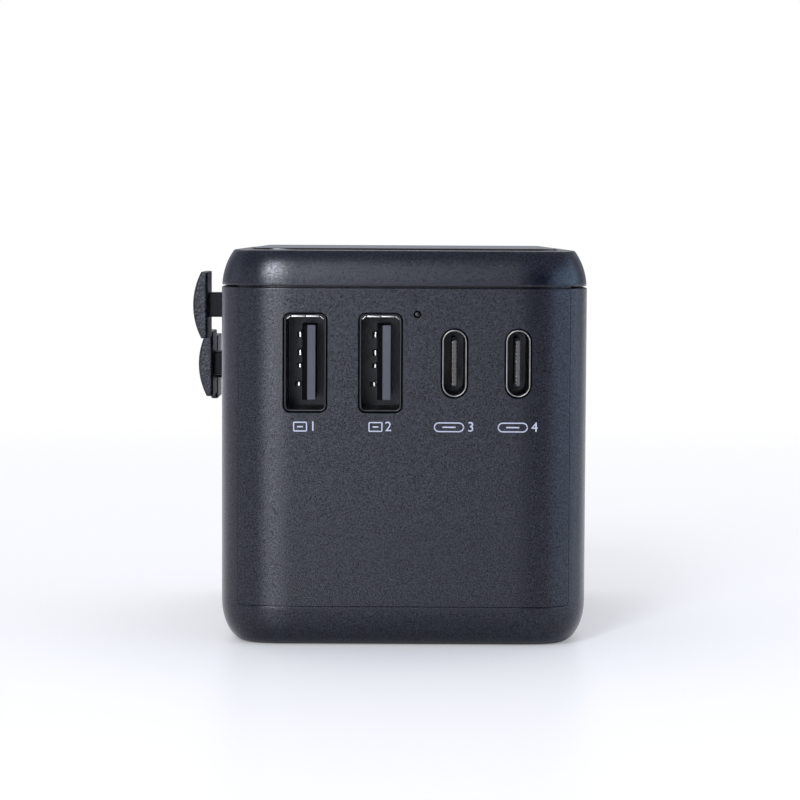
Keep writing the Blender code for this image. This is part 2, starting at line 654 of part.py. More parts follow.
def make_eu_plug():
    carriage = body("eu_plug", (-HALF_X, *KNOB_PLACES["eu"]), case)
    bottom = CARRIAGE_STOP + EU_STROKE
    arm, rib = slider_frame("eu", bottom)
    bar = block((ARM_X[1] - 0.1, 12.4), (EU_Y - SLICE_HALF, EU_Y + SLICE_HALF), (bottom, bottom + 5.0))
    frame = joined(bar, arm, rib)
    cutters = []
    neck_r, sleeve_r = 1.45, 1.95
    sleeve_top = bottom - GAP
    sleeve_bottom = sleeve_top - EU_SLEEVE_LENGTH
    for side, name in ((-1, "left"), (1, "right")):
        x = side * EU_HALF_SPACING
        cutters.append(rod(neck_r + GAP, x, EU_Y, (bottom - 1, bottom + TANG_LENGTH + GAP)))
        outline = [
            (EU_PIN_R - 0.9, TIP_Z),
            (EU_PIN_R, TIP_Z + 1.2),
            (EU_PIN_R, sleeve_bottom - GAP),
            (neck_r, sleeve_bottom - GAP),
            (neck_r, bottom + TANG_LENGTH),
        ]
        sides = 16
        turn = [2 * math.pi * k / sides for k in range(sides)]
        rings = [[(x + r * math.cos(a), EU_Y + r * math.sin(a), z) for a in turn] for r, z in outline]
        part(f"eu_{name}_pin", "plated_brass", loft(rings), carriage)
        sleeve = cut(
            rod(sleeve_r, x, EU_Y, (sleeve_bottom, sleeve_top), sides),
            rod(neck_r + 0.2, x, EU_Y, (sleeve_bottom - 1, sleeve_top + 1), sides),
        )
        part(f"eu_{name}_sleeve", "inner_plastic", sleeve, carriage)
    part("eu_carriage", "inner_plastic", cut(frame, *cutters), carriage)
    make_knob("eu", carriage)


def make_us_plug():
    """The American plug, whose blades turn in the carriage to make the Australian plug."""
    carriage = body("us_plug", (-HALF_X, *KNOB_PLACES["us"]), case)
    bottom = CARRIAGE_STOP + US_STROKE
    z = (bottom, bottom + 6.0)
    arm, rib = slider_frame("us", bottom)
    link_y = (KNOB_PLACES["us"][0] - SLICE_HALF, KNOB_PLACES["us"][0] + SLICE_HALF + 0.2)
    frame = joined(
        block((-11.3, 11.3), (US_Y - 4.8, US_Y + 4.8), z),
        block((ARM_X[1] - 0.1, -8.0), link_y, (z[0] + 0.01, z[1] - 0.01)),
        arm,
        rib,
    )
    root = bottom + TANG_LENGTH
    blade_tang = (US_BLADE[0] - 0.4, US_BLADE[1] - 1.4)
    slot_half_u, slot_half_v = US_BLADE[0] / 2 + GAP, US_BLADE[1] / 2 + GAP
    cutters = []
    for side, name in ((-1, "left"), (1, "right")):
        x = side * US_HALF_SPACING
        blade_body = body(f"us_{name}_blade_body", (x, US_Y, bottom), carriage)
        cutters.append(rod(TURRET_R + GAP, x, US_Y, (z[0] - 1, z[1] + 1), 28))
        turret_bottom = bottom - CARRIAGE_STOP + 0.2
        turret = joined(
            rod(TURRET_R, x, US_Y, (turret_bottom, z[1] + 0.6), 28),
            rod(TURRET_FLANGE_R, x, US_Y, (z[1] + GAP, z[1] + 1.1), 28),
        )
        slot_x = (x - slot_half_u, x + slot_half_u)
        slot = block(slot_x, (US_Y - slot_half_v, US_Y + slot_half_v), (turret_bottom - 1, root + 2 * GAP))
        blade = rounded_pin(US_BLADE, x, US_Y, TIP_Z, bottom, blade_tang)
        part(f"us_{name}_turret", "inner_plastic", cut(turret, slot), blade_body)
        part(f"us_{name}_blade", "plated_brass", blade, blade_body)
    part("us_carriage", "inner_plastic", cut(frame, *cutters), carriage)
    make_knob("us", carriage)


# ---------------------------------------------------------------- USB charger


def make_port(name, along, outline_shell, outline_hollow, tongue, base):
    """A port's steel shell and its tongue on a base block, along Y from the front or X from the side."""
    mouth, back = PORT_MOUTH, PORT_BACK
    if along == "Y":
        ends = (FRONT + mouth, FRONT + back)
        tip, base_start = FRONT + mouth + TONGUE_RECESS, FRONT + back - TONGUE_BASE
    else:
        ends = (HALF_X - back, HALF_X - mouth)
        tip, base_start = HALF_X - mouth - TONGUE_RECESS, HALF_X - back + TONGUE_BASE
    shell = cut(prism(outline_shell, along, *ends), prism(outline_hollow, along, ends[0] - 1, ends[1] + 1))
    part(f"{name}_shell", "port_steel", shell, case)
    root = FRONT + back if along == "Y" else HALF_X - back
    middle = (base_start + root) / 2
    blade = prism(tongue, along, *sorted((tip, middle)))
    insert = prism(base, along, *sorted((base_start, root)))
    part(f"{name}_tongue", "port_tongue", joined(insert, blade), case)


def make_usb_a(name, x):
    wide, tall = USB_A_SIZE
    inner = (wide / 2 - USB_A_WALL, tall / 2 - USB_A_WALL)
    hollow = shifted(rounded_rectangle(*inner, 0.3, 1), x, PORT_Z)
    shell = shifted(rounded_rectangle(wide / 2, tall / 2, 0.5, 2), x, PORT_Z)
    base = shifted(rounded_rectangle(inner[0] - GAP, inner[1] - GAP, 0.3, 1), x, PORT_Z)
    tongue = rounded_rectangle(USB_A_TONGUE[0] / 2, USB_A_TONGUE[1] / 2, 0.2, 1)
    make_port(name, "Y", shell, hollow, shifted(tongue, x + USB_A_TONGUE_X, PORT_Z), base)


def make_usb_c(name, u, along):
    hollow = [side - 2 * USB_C_WALL for side in USB_C_SIZE]
    base = [side - 2 * GAP for side in hollow]
    tongue = rounded_rectangle(USB_C_TONGUE[0] / 2, USB_C_TONGUE[1] / 2, 0.2, 1)
    outlines = [shifted(pill(size), u, PORT_Z) for size in (USB_C_SIZE, hollow)]
    make_port(name, along, *outlines, shifted(tongue, u, PORT_Z), shifted(pill(base), u, PORT_Z))


def make_charger():
    for name, x in USB_A_X.items():
        make_usb_a(name, x)
    for name, x in USB_C_X.items():
        make_usb_c(name, x, "Y")
    make_usb_c("usb_c_1", SIDE_PORT_Y, "X")
    part("port_board", "circuit_board", block((-20.5, 20.5), PORT_BOARD_Y, (14.0, 46.6)), case)
    part("power_board", "circuit_board", block((-20.0, 12.0), POWER_BOARD_Y, (5.4, 46.6)), case)
    side_board_x = (HALF_X - PORT_BACK - GAP - 1.6, HALF_X - PORT_BACK - GAP)
    part("side_port_board", "circuit_board", block(side_board_x, (-19.6, -11.8), (30.0, 46.0)), case)
    pipe_end = PORT_BOARD_Y[0] - 1.4
    pipe = rounded_rectangle(LED_R - GAP, LED_R - GAP, LED_R - GAP - 0.001, 3)
    part("led_light_pipe", "light_pipe", prism(shifted(pipe, LED_X, LED_Z), "Y", FRONT + 0.3, pipe_end), case)
    led_y = (pipe_end + GAP, PORT_BOARD_Y[0] - GAP)
    led = block((LED_X - 0.4, LED_X + 0.4), led_y, (LED_Z - 0.8, LED_Z + 0.8))
    part("status_led", "light_pipe", led, case)


def make_power_parts():
    front = POWER_BOARD_Y[0] - GAP
    core = cut(
        block((-8.0, 8.0), (front - 7.8, front), (24.0, 41.0)),
        block((-4.9, 4.9), (front - 9.0, front + 1.0), (27.0, 38.0)),
    )
    part("transformer_core", "ferrite", core, case)
    part("transformer_coil", "winding_tape", block((-4.6, 4.6), (front - 7.8, front), (27.3, 37.7)), case)
    capacitor = bevelled(rod(3.9, -14.0, front - 4.0, (24.0, 41.0)), 0.4, 1)
    part("bulk_capacitor", "capacitor_sleeve", capacitor, case)
    bm = bmesh.new()
    steps, tube_steps, ring_r, tube_r = 20, 8, 4.4, 2.4
    bmesh.ops.create_circle(bm, segments=tube_steps, radius=tube_r * MM)
    bmesh.ops.translate(bm, vec=(ring_r * MM, 0, 0), verts=bm.verts)
    bmesh.ops.spin(
        bm,
        geom=bm.edges[:],
        cent=(0, 0, 0),
        axis=(0, 1, 0),
        angle=2 * math.pi,
        steps=steps,
        use_merge=True,
    )
    bmesh.ops.translate(bm, vec=Vector((0.0, front - 3.4, 14.0)) * MM, verts=bm.verts)
    part("choke", "copper_wire", shape_from(bm), case)


# ---------------------------------------------------------------- fuse and screws


def make_fuse():
    cap = body("fuse_cap_body", (FUSE_X, FUSE_Y, 0), case)
    disc = rod(FUSE_CAP_R, FUSE_X, FUSE_Y, (0.25, FUSE_CAP_TOP), 32)
    coin_slot = block((FUSE_X - 3.2, FUSE_X + 3.2), (FUSE_Y - 0.6, FUSE_Y + 0.6), (-1.0, 1.2))
    part("fuse_cap", "casing_plastic", cut(disc, coin_slot), cap)
    low = FUSE_CAP_TOP + GAP
    end_length, tube_length = 5.0, 9.4
    part("fuse_end_lower", "plated_brass", rod(FUSE_R, FUSE_X, FUSE_Y, (low, low + end_length)), case)
    tube_low = low + end_length + GAP
    tube = rod(FUSE_R - 0.15, FUSE_X, FUSE_Y, (tube_low, tube_low + tube_length))
    part("fuse_tube", "fuse_ceramic", tube, case)
    top = tube_low + tube_length + GAP
    part("fuse_end_upper", "plated_brass", rod(FUSE_R, FUSE_X, FUSE_Y, (top, top + end_length)), case)


def make_screws():
    """A pan head in its counterbore, with a three-lobed security drive, and a plain shank in the post."""
    names = ["screw_front_left", "screw_front_right", "screw_rear_left", "screw_rear_right"]
    for name, (x, y) in zip(names, FRONT_SCREWS + REAR_SCREWS):
        head = rod(SCREW_HEAD_R, x, y, (0.5, 1.6), 20)
        shank = rod(SCREW_R - 0.05, x, y, (1.0, 1.6 + SCREW_LENGTH), 12)
        drive = rod(1.0, x, y, (-0.5, 0.9), 3)
        part(name, "screw_steel", cut(joined(head, shank), drive), case)


# ---------------------------------------------------------------- the adapter


for leftover in list(bpy.data.objects):
    bpy.data.objects.remove(leftover)
parts = bpy.data.collections.new("universal_travel_adapter")
bpy.context.scene.collection.children.link(parts)
case = body("case")
shutter = body("shutter", (0, SOCKET_Y, SHUTTER_Z[0]), case)

make_main_housing()
make_front_panel()
make_top_cover()
make_socket_plate()
make_socket_carrier()
make_contacts()
make_shutter()
make_uk_plug()
make_eu_plug()
make_us_plug()
make_charger()
make_power_parts()
make_fuse()
make_screws()
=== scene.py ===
"""Looks for the universal travel adapter: fine shells, ports, knobs, plugs, materials, light and camera.

Shapes are made in millimetres in the row's frame and become metres when they are finished. Places and sizes
come from the CAD frame's boxes. The joints' bodies carry every piece.
"""

import json
import math

import bmesh
import bpy
from mathutils import Matrix, Vector


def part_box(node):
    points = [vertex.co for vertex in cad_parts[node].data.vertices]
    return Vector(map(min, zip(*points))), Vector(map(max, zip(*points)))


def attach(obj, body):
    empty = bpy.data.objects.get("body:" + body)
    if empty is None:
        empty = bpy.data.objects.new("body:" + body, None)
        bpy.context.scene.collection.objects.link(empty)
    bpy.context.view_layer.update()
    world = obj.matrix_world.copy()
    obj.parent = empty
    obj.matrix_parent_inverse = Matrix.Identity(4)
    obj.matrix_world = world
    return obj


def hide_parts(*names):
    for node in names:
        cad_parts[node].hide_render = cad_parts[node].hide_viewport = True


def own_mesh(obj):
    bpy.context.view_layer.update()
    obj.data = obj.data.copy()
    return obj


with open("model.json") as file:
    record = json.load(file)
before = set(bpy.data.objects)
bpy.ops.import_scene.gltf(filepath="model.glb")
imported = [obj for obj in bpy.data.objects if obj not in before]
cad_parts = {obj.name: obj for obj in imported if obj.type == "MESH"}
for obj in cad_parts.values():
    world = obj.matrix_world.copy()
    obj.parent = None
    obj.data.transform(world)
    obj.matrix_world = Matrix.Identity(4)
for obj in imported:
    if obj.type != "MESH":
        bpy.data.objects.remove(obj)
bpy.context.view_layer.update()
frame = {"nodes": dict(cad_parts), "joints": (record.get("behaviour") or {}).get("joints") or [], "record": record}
MM = 0.001


# ---------------------------------------------------------------- sizes from the frame, in millimetres


def cad(node):
    """A CAD node's lowest and highest corners in millimetres."""
    low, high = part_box(node)
    return Vector(low) / MM, Vector(high) / MM


def cad_centre(node):
    low, high = cad(node)
    return (low + high) / 2


cover_low, cover_high = cad("top_cover")
HALF_X, HALF_Y, TOP_Z = cover_high.x, cover_high.y, cover_high.z
FRONT = -HALF_Y
SEAM_Z = cad("main_housing")[1].z
PLATE_LOW, PLATE_HIGH = cad("socket_plate")

# Casing shape
WALL, DRAFT = 1.8, 0.06
BOTTOM_RUN, BOTTOM_RISE = 3.2, 5.6  # the bottom edge is a quarter of an ellipse
CORNER_REACH = 10.0  # how far a corner's curve reaches along each side
CORNER_EASE = 0.7  # 0 is a plain arc, 1 starts and ends with no curvature
CAP_SIDE_R, CAP_EDGE_R, CAP_INSET, PLATE_GAP = 8.4, 0.16, 0.06, 0.14
SEAM_GAP, LIP_R = 0.24, 0.16
PANEL_GAP, PANEL_CORNER_R, PANEL_EDGE_R = 0.03, 0.6, 0.05
PANEL_HALF_X = cad("front_panel")[1].x + 0.3
PANEL_BOTTOM = 5.4  # its tabs reach lower, behind the housing
NEAR = 0.01  # points closer than this count as touching
FINE = 24  # steps round a quarter turn on the casing's corners
MOUTH_R = 0.22  # rounding at the mouths of the moulded holes

# Holes, as (half width, half height, corner radius) or a radius
USB_A_HOLE, USB_C_HOLE, LIGHT_HOLE_R = (2.93, 6.63, 1.0), (1.80, 4.64, 1.79), 0.5
SLOT_HALF, SLOT_CORNER_R = 2.05, 0.7
UK_HOLE, UK_EARTH_HOLE, EU_HOLE_R, TURRET_HOLE_R = (3.475, 2.3, 0.4), (2.3, 4.3, 0.4), 2.3, 4.25
FUSE_HOLE_R, SCREW_HOLE_R, SHANK_HOLE_R, SCREW_BOSS_R = 4.5, 2.3, 1.4, 2.9
BOSS_LOW, BOSS_HIGH, SHANK_HOLE_HIGH = 1.0, 3.7, 5.0
SIDE_CUT, BOTTOM_CUT, SCREW_CUT = 3.0, 4.0, 1.9  # how deep the holes are cut
SLOT_SUNK, PORT_SUNK = 0.05, 0.04  # how far in from the greatest width a leaning side is cut

# The socket plate's holes, whose middles are level with the live and neutral pins
UK_SOCKET, UK_SOCKET_X = (3.5, 2.3, 0.35), 11.11
EARTH_SOCKET, EARTH_OFFSET = (2.4, 4.5, 0.35), 22.2
EU_SOCKET_R, EU_SOCKET_X = 2.5, 9.5
US_SOCKET, US_SOCKET_X, AUSTRALIAN_LEAN = (1.0, 3.6, 0.3), 6.35, 30
SOCKET_FLARE, SOCKET_CUT = 0.35, 4.0
SHUTTER_LAP = 4.4  # from the shutter's front edge to the live pin's middle

# Ports, as (half width, half height, corner radius) and the thickness of the sheet
PORT_BACK, TONGUE_BACK = 11.9, 9.6
USB_A_SHELL, USB_A_WALL = (2.85, 6.55, 0.85), 0.3
USB_C_SHELL, USB_C_WALL = (1.63, 4.47, 1.60), 0.17
# The size of the near-black tube inside each USB-C sleeve, which is painted shade
USB_C_SHADE_LINING = (1.455, 4.295, 1.425)
USB_C_PADS, PAD_PITCH, PAD_HALF = 12, 0.5, 0.13

# Marks, knobs, plugs, fuse cap and screws
MARK_Z, INK_THICK, FIGURE_HEIGHT, FIGURE_HALF = 29.5, 0.03, 1.3, 0.42
KNOB_GAP, KNOB_END, KNOB_EDGE_R, KNOB_FILLET = 2.85, 0.9, 0.4, 0.16
STEM_HALF, STEM_END_X = 1.75, -20.95
TANG = 3.2  # the hidden part of a pin, inside its carriage
UK_PIN_HALF, UK_EARTH_HALF, UK_TIP_R = (3.175, 2.0), (2.0, 4.0), 0.9
TURRET_R, TURRET_RIM, TURRET_GROOVE = 4.0, 0.75, 0.3
US_BLADE_HALF, US_TIP_R = (0.75, 3.175), 0.65
FUSE_CAP_R, COIN_SLOT = 4.3, (3.3, 0.65, 0.6)
SCREW_HEAD_R, SCREW_HEAD, SHANK_R, CROSS_HALF = 2.0, 1.1, 1.0, (1.15, 0.3)
SCREWS = [f"screw_{end}_{side}" for end in ("front", "rear") for side in ("left", "right")]

# Studio surroundings, as the object sees them
STUDIO_DIM = (0.0, 0.0, 0.01)
STUDIO_FRONT = (0.15, 0.19, 0.30)
STUDIO_LEFT = (0.84, 0.90, 1.08)
STUDIO_STRIP = (6.50, 6.80, 7.60)
STUDIO_RIGHT = (1.40, 1.85, 2.60)
STUDIO_HIGH = (0.42, 0.45, 0.54)
STUDIO_BACK = (0.34, 0.35, 0.41)
STUDIO_OVERHEAD = (2.20, 2.20, 2.26)


# ---------------------------------------------------------------- outlines and solids, in millimetres


def rounded_rectangle(half_u, half_v, radius, steps=8):
    """Anticlockwise from the corner at +u, +v."""
    points = []
    for quarter, (side_u, side_v) in enumerate([(1, 1), (-1, 1), (-1, -1), (1, -1)]):
        centre = Vector((side_u * (half_u - radius), side_v * (half_v - radius)))
        for step in range(steps + 1):
            angle = math.radians(90 * (quarter + step / steps))
            points.append(centre + radius * Vector((math.cos(angle), math.sin(angle))))
    return points


def circle(radius, sides=48):
    turn = 2 * math.pi / sides
    return [Vector((radius * math.cos(turn * k), radius * math.sin(turn * k))) for k in range(sides)]


def shifted(outline, u, v):
    return [point + Vector((u, v)) for point in outline]


def turned(outline, degrees):
    spin = Matrix.Rotation(math.radians(degrees), 2)
    return [spin @ point for point in outline]


def placed(u, v, t, along):
    """A point from its place across and along an axis. Across is the other two axes, in X, Y, Z order."""
    return {"X": Vector((t, u, v)), "Y": Vector((u, t, v)), "Z": Vector((u, v, t))}[along]


def scene_object(name, data):
    """A new object, linked to the scene."""
    holder = bpy.data.objects.new(name, data)
    bpy.context.scene.collection.objects.link(holder)
    return holder


def evaluated_mesh(holder):
    """A new mesh of a curve, or of a mesh with its modifiers applied."""
    bpy.context.view_layer.update()
    graph = bpy.context.evaluated_depsgraph_get()
    return bpy.data.meshes.new_from_object(holder.evaluated_get(graph))


def solid_from(bm):
    bmesh.ops.recalc_face_normals(bm, faces=bm.faces)
    mesh = bpy.data.meshes.new("solid")
    bm.to_mesh(mesh)
    bm.free()
    return scene_object("solid", mesh)


def loft(rings, closed=False):
    """Skins rings of equally many points. A closed loft joins its last ring to its first."""
    bm = bmesh.new()
    loops = [[bm.verts.new(point) for point in ring] for ring in rings]
    pairs = list(zip(loops, loops[1:]))
    if closed:
        pairs.append((loops[-1], loops[0]))
    else:
        bm.faces.new(loops[0])
        bm.faces.new(loops[-1])
    for one, other in pairs:
        for k in range(len(one)):
            bm.faces.new((one[k - 1], one[k], other[k], other[k - 1]))
    return solid_from(bm)


def prism(outline, along, low, high):
    rings = [[placed(u, v, t, along) for u, v in outline] for t in (low, high)]
    return loft(rings)


def block(x, y, z):
    outline = [Vector((x[0], y[0])), Vector((x[1], y[0])), Vector((x[1], y[1])), Vector((x[0], y[1]))]
    return prism(outline, "Z", *z)


def quarter_arc(steps):
    return [math.radians(90 * k / steps) for k in range(steps + 1)]


def rounded_prism(grown, along, low, high, edge_low=0.0, edge_high=0.0, steps=4):
    """A prism whose end edges are rounded. grown(d) gives its outline, moved out by d."""
    levels = []
    for t, edge, way in ((low, edge_low, 1), (high, edge_high, -1)):
        if edge:
            arc = [
                (-edge * (1 - math.sin(a)), t + way * edge * (1 - math.cos(a))) for a in quarter_arc(steps)
            ]
            levels += arc if way > 0 else arc[::-1]
        else:
            levels.append((0.0, t))
    return loft([[placed(u, v, t, along) for u, v in grown(d)] for d, t in levels])


def mouth_cutter(grown, along, surface, inward, depth, flare=MOUTH_R, steps=5):
    """Cuts a hole whose mouth is rounded. inward is +1 or -1, the way into the material along the axis."""
    levels = [(flare, surface - inward)]
    levels += [
        (flare * (1 - math.sin(a)), surface + inward * (flare * (1 - math.cos(a)) - NEAR))
        for a in quarter_arc(steps)
    ]
    levels.append((0.0, surface + inward * depth))
    return loft([[placed(u, v, t, along) for u, v in grown(d)] for d, t in levels])


def rectangle_at(half_u, half_v, radius, u, v, steps=8, degrees=0):
    def grown(d):
        outline = rounded_rectangle(half_u + d, half_v + d, max(radius + d, 0.01), steps)
        return shifted(turned(outline, degrees), u, v)

    return grown


def circle_at(radius, u, v, sides=48):
    return lambda d: shifted(circle(radius + d, sides), u, v)


def combined(operation, base, others):
    for other in others:
        modifier = base.modifiers.new(operation, "BOOLEAN")
        modifier.operation = operation
        modifier.object = other
    mesh = evaluated_mesh(base)
    base.modifiers.clear()
    base.data = mesh
    for other in others:
        bpy.data.objects.remove(other)
    return base


def cut(base, *cutters):
    return combined("DIFFERENCE", base, cutters)


def joined(base, *others):
    return combined("UNION", base, others)


def bevel_edges(solid, wanted, width, segments=3):
    """Rounds the sharp edges whose middle passes the test."""
    bm = bmesh.new()
    bm.from_mesh(solid.data)
    edges = []
    for edge in bm.edges:
        middle = (edge.verts[0].co + edge.verts[1].co) / 2
        if edge.calc_face_angle(0) > math.radians(28) and wanted(middle):
            edges.append(edge)
    bmesh.ops.bevel(
        bm, geom=edges, offset=width, offset_type="OFFSET", segments=segments, profile=0.5, affect="EDGES"
    )
    bm.to_mesh(solid.data)
    bm.free()
    return solid


# ---------------------------------------------------------------- finished pieces


def piece(name, solid, look, body, replaces=(), sharp=32):
    """Turns a solid into a named piece on a body, in metres, shaded smooth up to the sharp angle."""
    solid.name = name
    solid.data.name = name
    solid.data.transform(Matrix.Scale(MM, 4))
    solid.data.materials.clear()
    solid.data.materials.append(MATERIALS[look])
    solid.data.shade_smooth()
    solid.data.set_sharp_from_angle(angle=math.radians(sharp))
    weighted = solid.modifiers.new("weighted_normals", "WEIGHTED_NORMAL")
    weighted.keep_sharp = True
    weighted.weight = 100
    if replaces:
        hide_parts(*replaces)
    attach(solid, body)
    return solid


# ---------------------------------------------------------------- materials


def maths_node(tree, operation, one, other):
    """One sum or product of two outputs or numbers."""
    node = tree.nodes.new("ShaderNodeMath")
    node.operation = operation
    for socket, value in zip(node.inputs, (one, other)):
        if isinstance(value, (int, float)):
            socket.default_value = value
        else:
            tree.links.new(value, socket)
    return node.outputs["Value"]


def remap_node(tree, value, low, high, to_low, to_high, easing="LINEAR"):
    node = tree.nodes.new("ShaderNodeMapRange")
    node.interpolation_type = easing
    limits = {"From Min": low, "From Max": high, "To Min": to_low, "To Max": to_high}
    for name, number in limits.items():
        node.inputs[name].default_value = number
    tree.links.new(value, node.inputs["Value"])
    return node.outputs["Result"]


class Nodes:
    """Builds a material's nodes: each method adds one node and returns its output."""

    def __init__(self, name, colour, roughness, metallic=0.0):
        self.material = bpy.data.materials.new(name)
        self.material.use_nodes = True
        self.tree = self.material.node_tree
        self.shader = self.tree.nodes["Principled BSDF"]
        self.set("Base Color", (*colour, 1))
        self.set("Roughness", roughness)
        self.set("Metallic", metallic)
        self.material.diffuse_color = (*colour, 1)
        self.place = self.add("ShaderNodeTexCoord").outputs["Object"]

    def add(self, kind, **values):
        node = self.tree.nodes.new(kind)
        for key, value in values.items():
            setattr(node, key, value)
        return node

    def link(self, output, socket):
        self.tree.links.new(output, socket)

    def set(self, name, value):
        self.shader.inputs[name].default_value = value

    def stretched(self, scale):
        node = self.add("ShaderNodeMapping")
        node.inputs["Scale"].default_value = scale
        self.link(self.place, node.inputs["Vector"])
        return node.outputs["Vector"]

    def noise(self, cell_mm, detail=2.0, roughness=0.5, where=None):
        """Fractal noise whose coarsest features are about that many millimetres across."""
        node = self.add("ShaderNodeTexNoise")
        node.inputs["Scale"].default_value = 1 / (cell_mm * MM)
        node.inputs["Detail"].default_value = detail
        node.inputs["Roughness"].default_value = roughness
        self.link(where or self.place, node.inputs["Vector"])
        return node.outputs["Fac"]

    def cells(self, cell_mm, feature="F1"):
        node = self.add("ShaderNodeTexVoronoi", feature=feature)
        node.inputs["Scale"].default_value = 1 / (cell_mm * MM)
        self.link(self.place, node.inputs["Vector"])
        return node.outputs["Distance"]

    def remap(self, value, low, high, to_low, to_high):
        return remap_node(self.tree, value, low, high, to_low, to_high)

    def ramp(self, value, stops):
        """A colour ramp from (position, colour) stops."""
        node = self.add("ShaderNodeValToRGB")
        elements = node.color_ramp.elements
        while len(elements) < len(stops):
            elements.new(0.5)
        for element, (position, colour) in zip(elements, stops):
            element.position = position
            element.color = (*colour, 1)
        self.link(value, node.inputs["Fac"])
        return node.outputs["Color"]

    def mix(self, factor, one, other):
        node = self.add("ShaderNodeMix", data_type="RGBA")
        self.link(factor, node.inputs[0])
        self.link(one, node.inputs[6])
        self.link(other, node.inputs[7])
        return node.outputs[2]

    def bump(self, height, depth_mm, strength=1.0, under=None):
        node = self.add("ShaderNodeBump")
        node.inputs["Distance"].default_value = depth_mm * MM
        node.inputs["Strength"].default_value = strength
        self.link(height, node.inputs["Height"])
        if under:
            self.link(under, node.inputs["Normal"])
        return node.outputs["Normal"]

    def colour(self, output):
        self.link(output, self.shader.inputs["Base Color"])

    def roughness(self, output):
        self.link(output, self.shader.inputs["Roughness"])

    def normal(self, output):
        self.link(output, self.shader.inputs["Normal"])


def tinted(colour, factor):
    return tuple(channel * factor for channel in colour)


def spark_plastic(name, colour, grain_mm, depth_mm, rough_low, rough_high):
    """Moulded plastic with a spark-eroded grain, whose facets glint."""
    m = Nodes(name, colour, rough_low)
    grain = m.noise(grain_mm, 3.0, 0.65)
    fine = m.noise(grain_mm * 0.45, 1.0, 0.5)
    cloud = m.noise(14.0, 3.0, 0.55)
    speckle = m.ramp(grain, [(0.38, tinted(colour, 0.35)), (0.53, colour), (0.66, tinted(colour, 8.0))])
    broad = m.ramp(cloud, [(0.35, tinted(colour, 0.93)), (0.65, tinted(colour, 1.07))])
    m.colour(m.mix(m.remap(fine, 0.3, 0.7, 0.0, 0.35), speckle, broad))
    m.roughness(m.remap(grain, 0.25, 0.75, rough_high, rough_low))
    m.link(m.remap(grain, 0.36, 0.68, 0.22, 0.72), m.shader.inputs["Specular IOR Level"])
    coarse_bump = m.bump(grain, depth_mm)
    m.normal(m.bump(fine, depth_mm * 0.5, 0.8, coarse_bump))
    return m.material


def smooth_plastic(name, colour, roughness, scuff=0.05, specular=0.5):
    """Plastic from a polished mould: faint flow clouding and fine wear in its gloss."""
    m = Nodes(name, colour, roughness)
    m.set("Specular IOR Level", specular)
    cloud = m.noise(6.0, 4.0, 0.6)
    wear = m.noise(0.8, 5.0, 0.7, m.stretched((1.0, 0.25, 1.0)))
    m.colour(m.ramp(cloud, [(0.3, tinted(colour, 0.9)), (0.7, tinted(colour, 1.1))]))
    m.roughness(m.remap(wear, 0.3, 0.75, roughness, roughness + scuff))
    m.normal(m.bump(cloud, 0.01, 0.3))
    return m.material


def drawn_metal(name, colour, roughness, stretch, tarnish=0.85):
    """Plated sheet or wire, with fine lines along its length and a little tarnish."""
    m = Nodes(name, colour, roughness, 1.0)
    lines = m.noise(0.12, 3.0, 0.6, m.stretched(stretch))
    patches = m.noise(2.5, 4.0, 0.6)
    m.colour(m.ramp(patches, [(0.35, tinted(colour, tarnish)), (0.62, colour)]))
    m.roughness(m.remap(lines, 0.3, 0.7, roughness * 0.8, roughness * 1.35))
    m.normal(m.bump(lines, 0.004, 0.5))
    return m.material


def circuit_board_material():
    m = Nodes("circuit_board_mask", (0.012, 0.10, 0.045), 0.32)
    tracks = m.cells(1.1)
    edge = m.ramp(tracks, [(0.30, (0.010, 0.085, 0.038)), (0.36, (0.018, 0.16, 0.07))])
    m.colour(edge)
    m.normal(m.bump(tracks, 0.03, 0.4))
    m.roughness(m.remap(m.noise(1.2, 2.0), 0.3, 0.7, 0.25, 0.42))
    return m.material


def winding_material(name, colour, roughness, turn_mm, metallic=0.0):
    """Wire or tape wound on a core: bands across it with a slight unevenness."""
    m = Nodes(name, colour, roughness, metallic)
    wave = m.add("ShaderNodeTexWave", wave_type="BANDS", bands_direction="Z")
    wave.inputs["Scale"].default_value = 1 / (turn_mm * MM * 2 * math.pi)
    wave.inputs["Distortion"].default_value = 0.6
    m.link(m.place, wave.inputs["Vector"])
    m.colour(m.ramp(wave.outputs["Fac"], [(0.1, tinted(colour, 0.55)), (0.6, colour)]))
    m.normal(m.bump(wave.outputs["Fac"], 0.08, 0.8))
    return m.material


def clear_material():
    m = Nodes("clear_acrylic", (0.80, 0.83, 0.88), 0.12)
    m.set("Transmission Weight", 0.6)
    m.set("IOR", 1.49)
    m.roughness(m.remap(m.noise(0.5, 2.0), 0.3, 0.7, 0.08, 0.2))
    return m.material


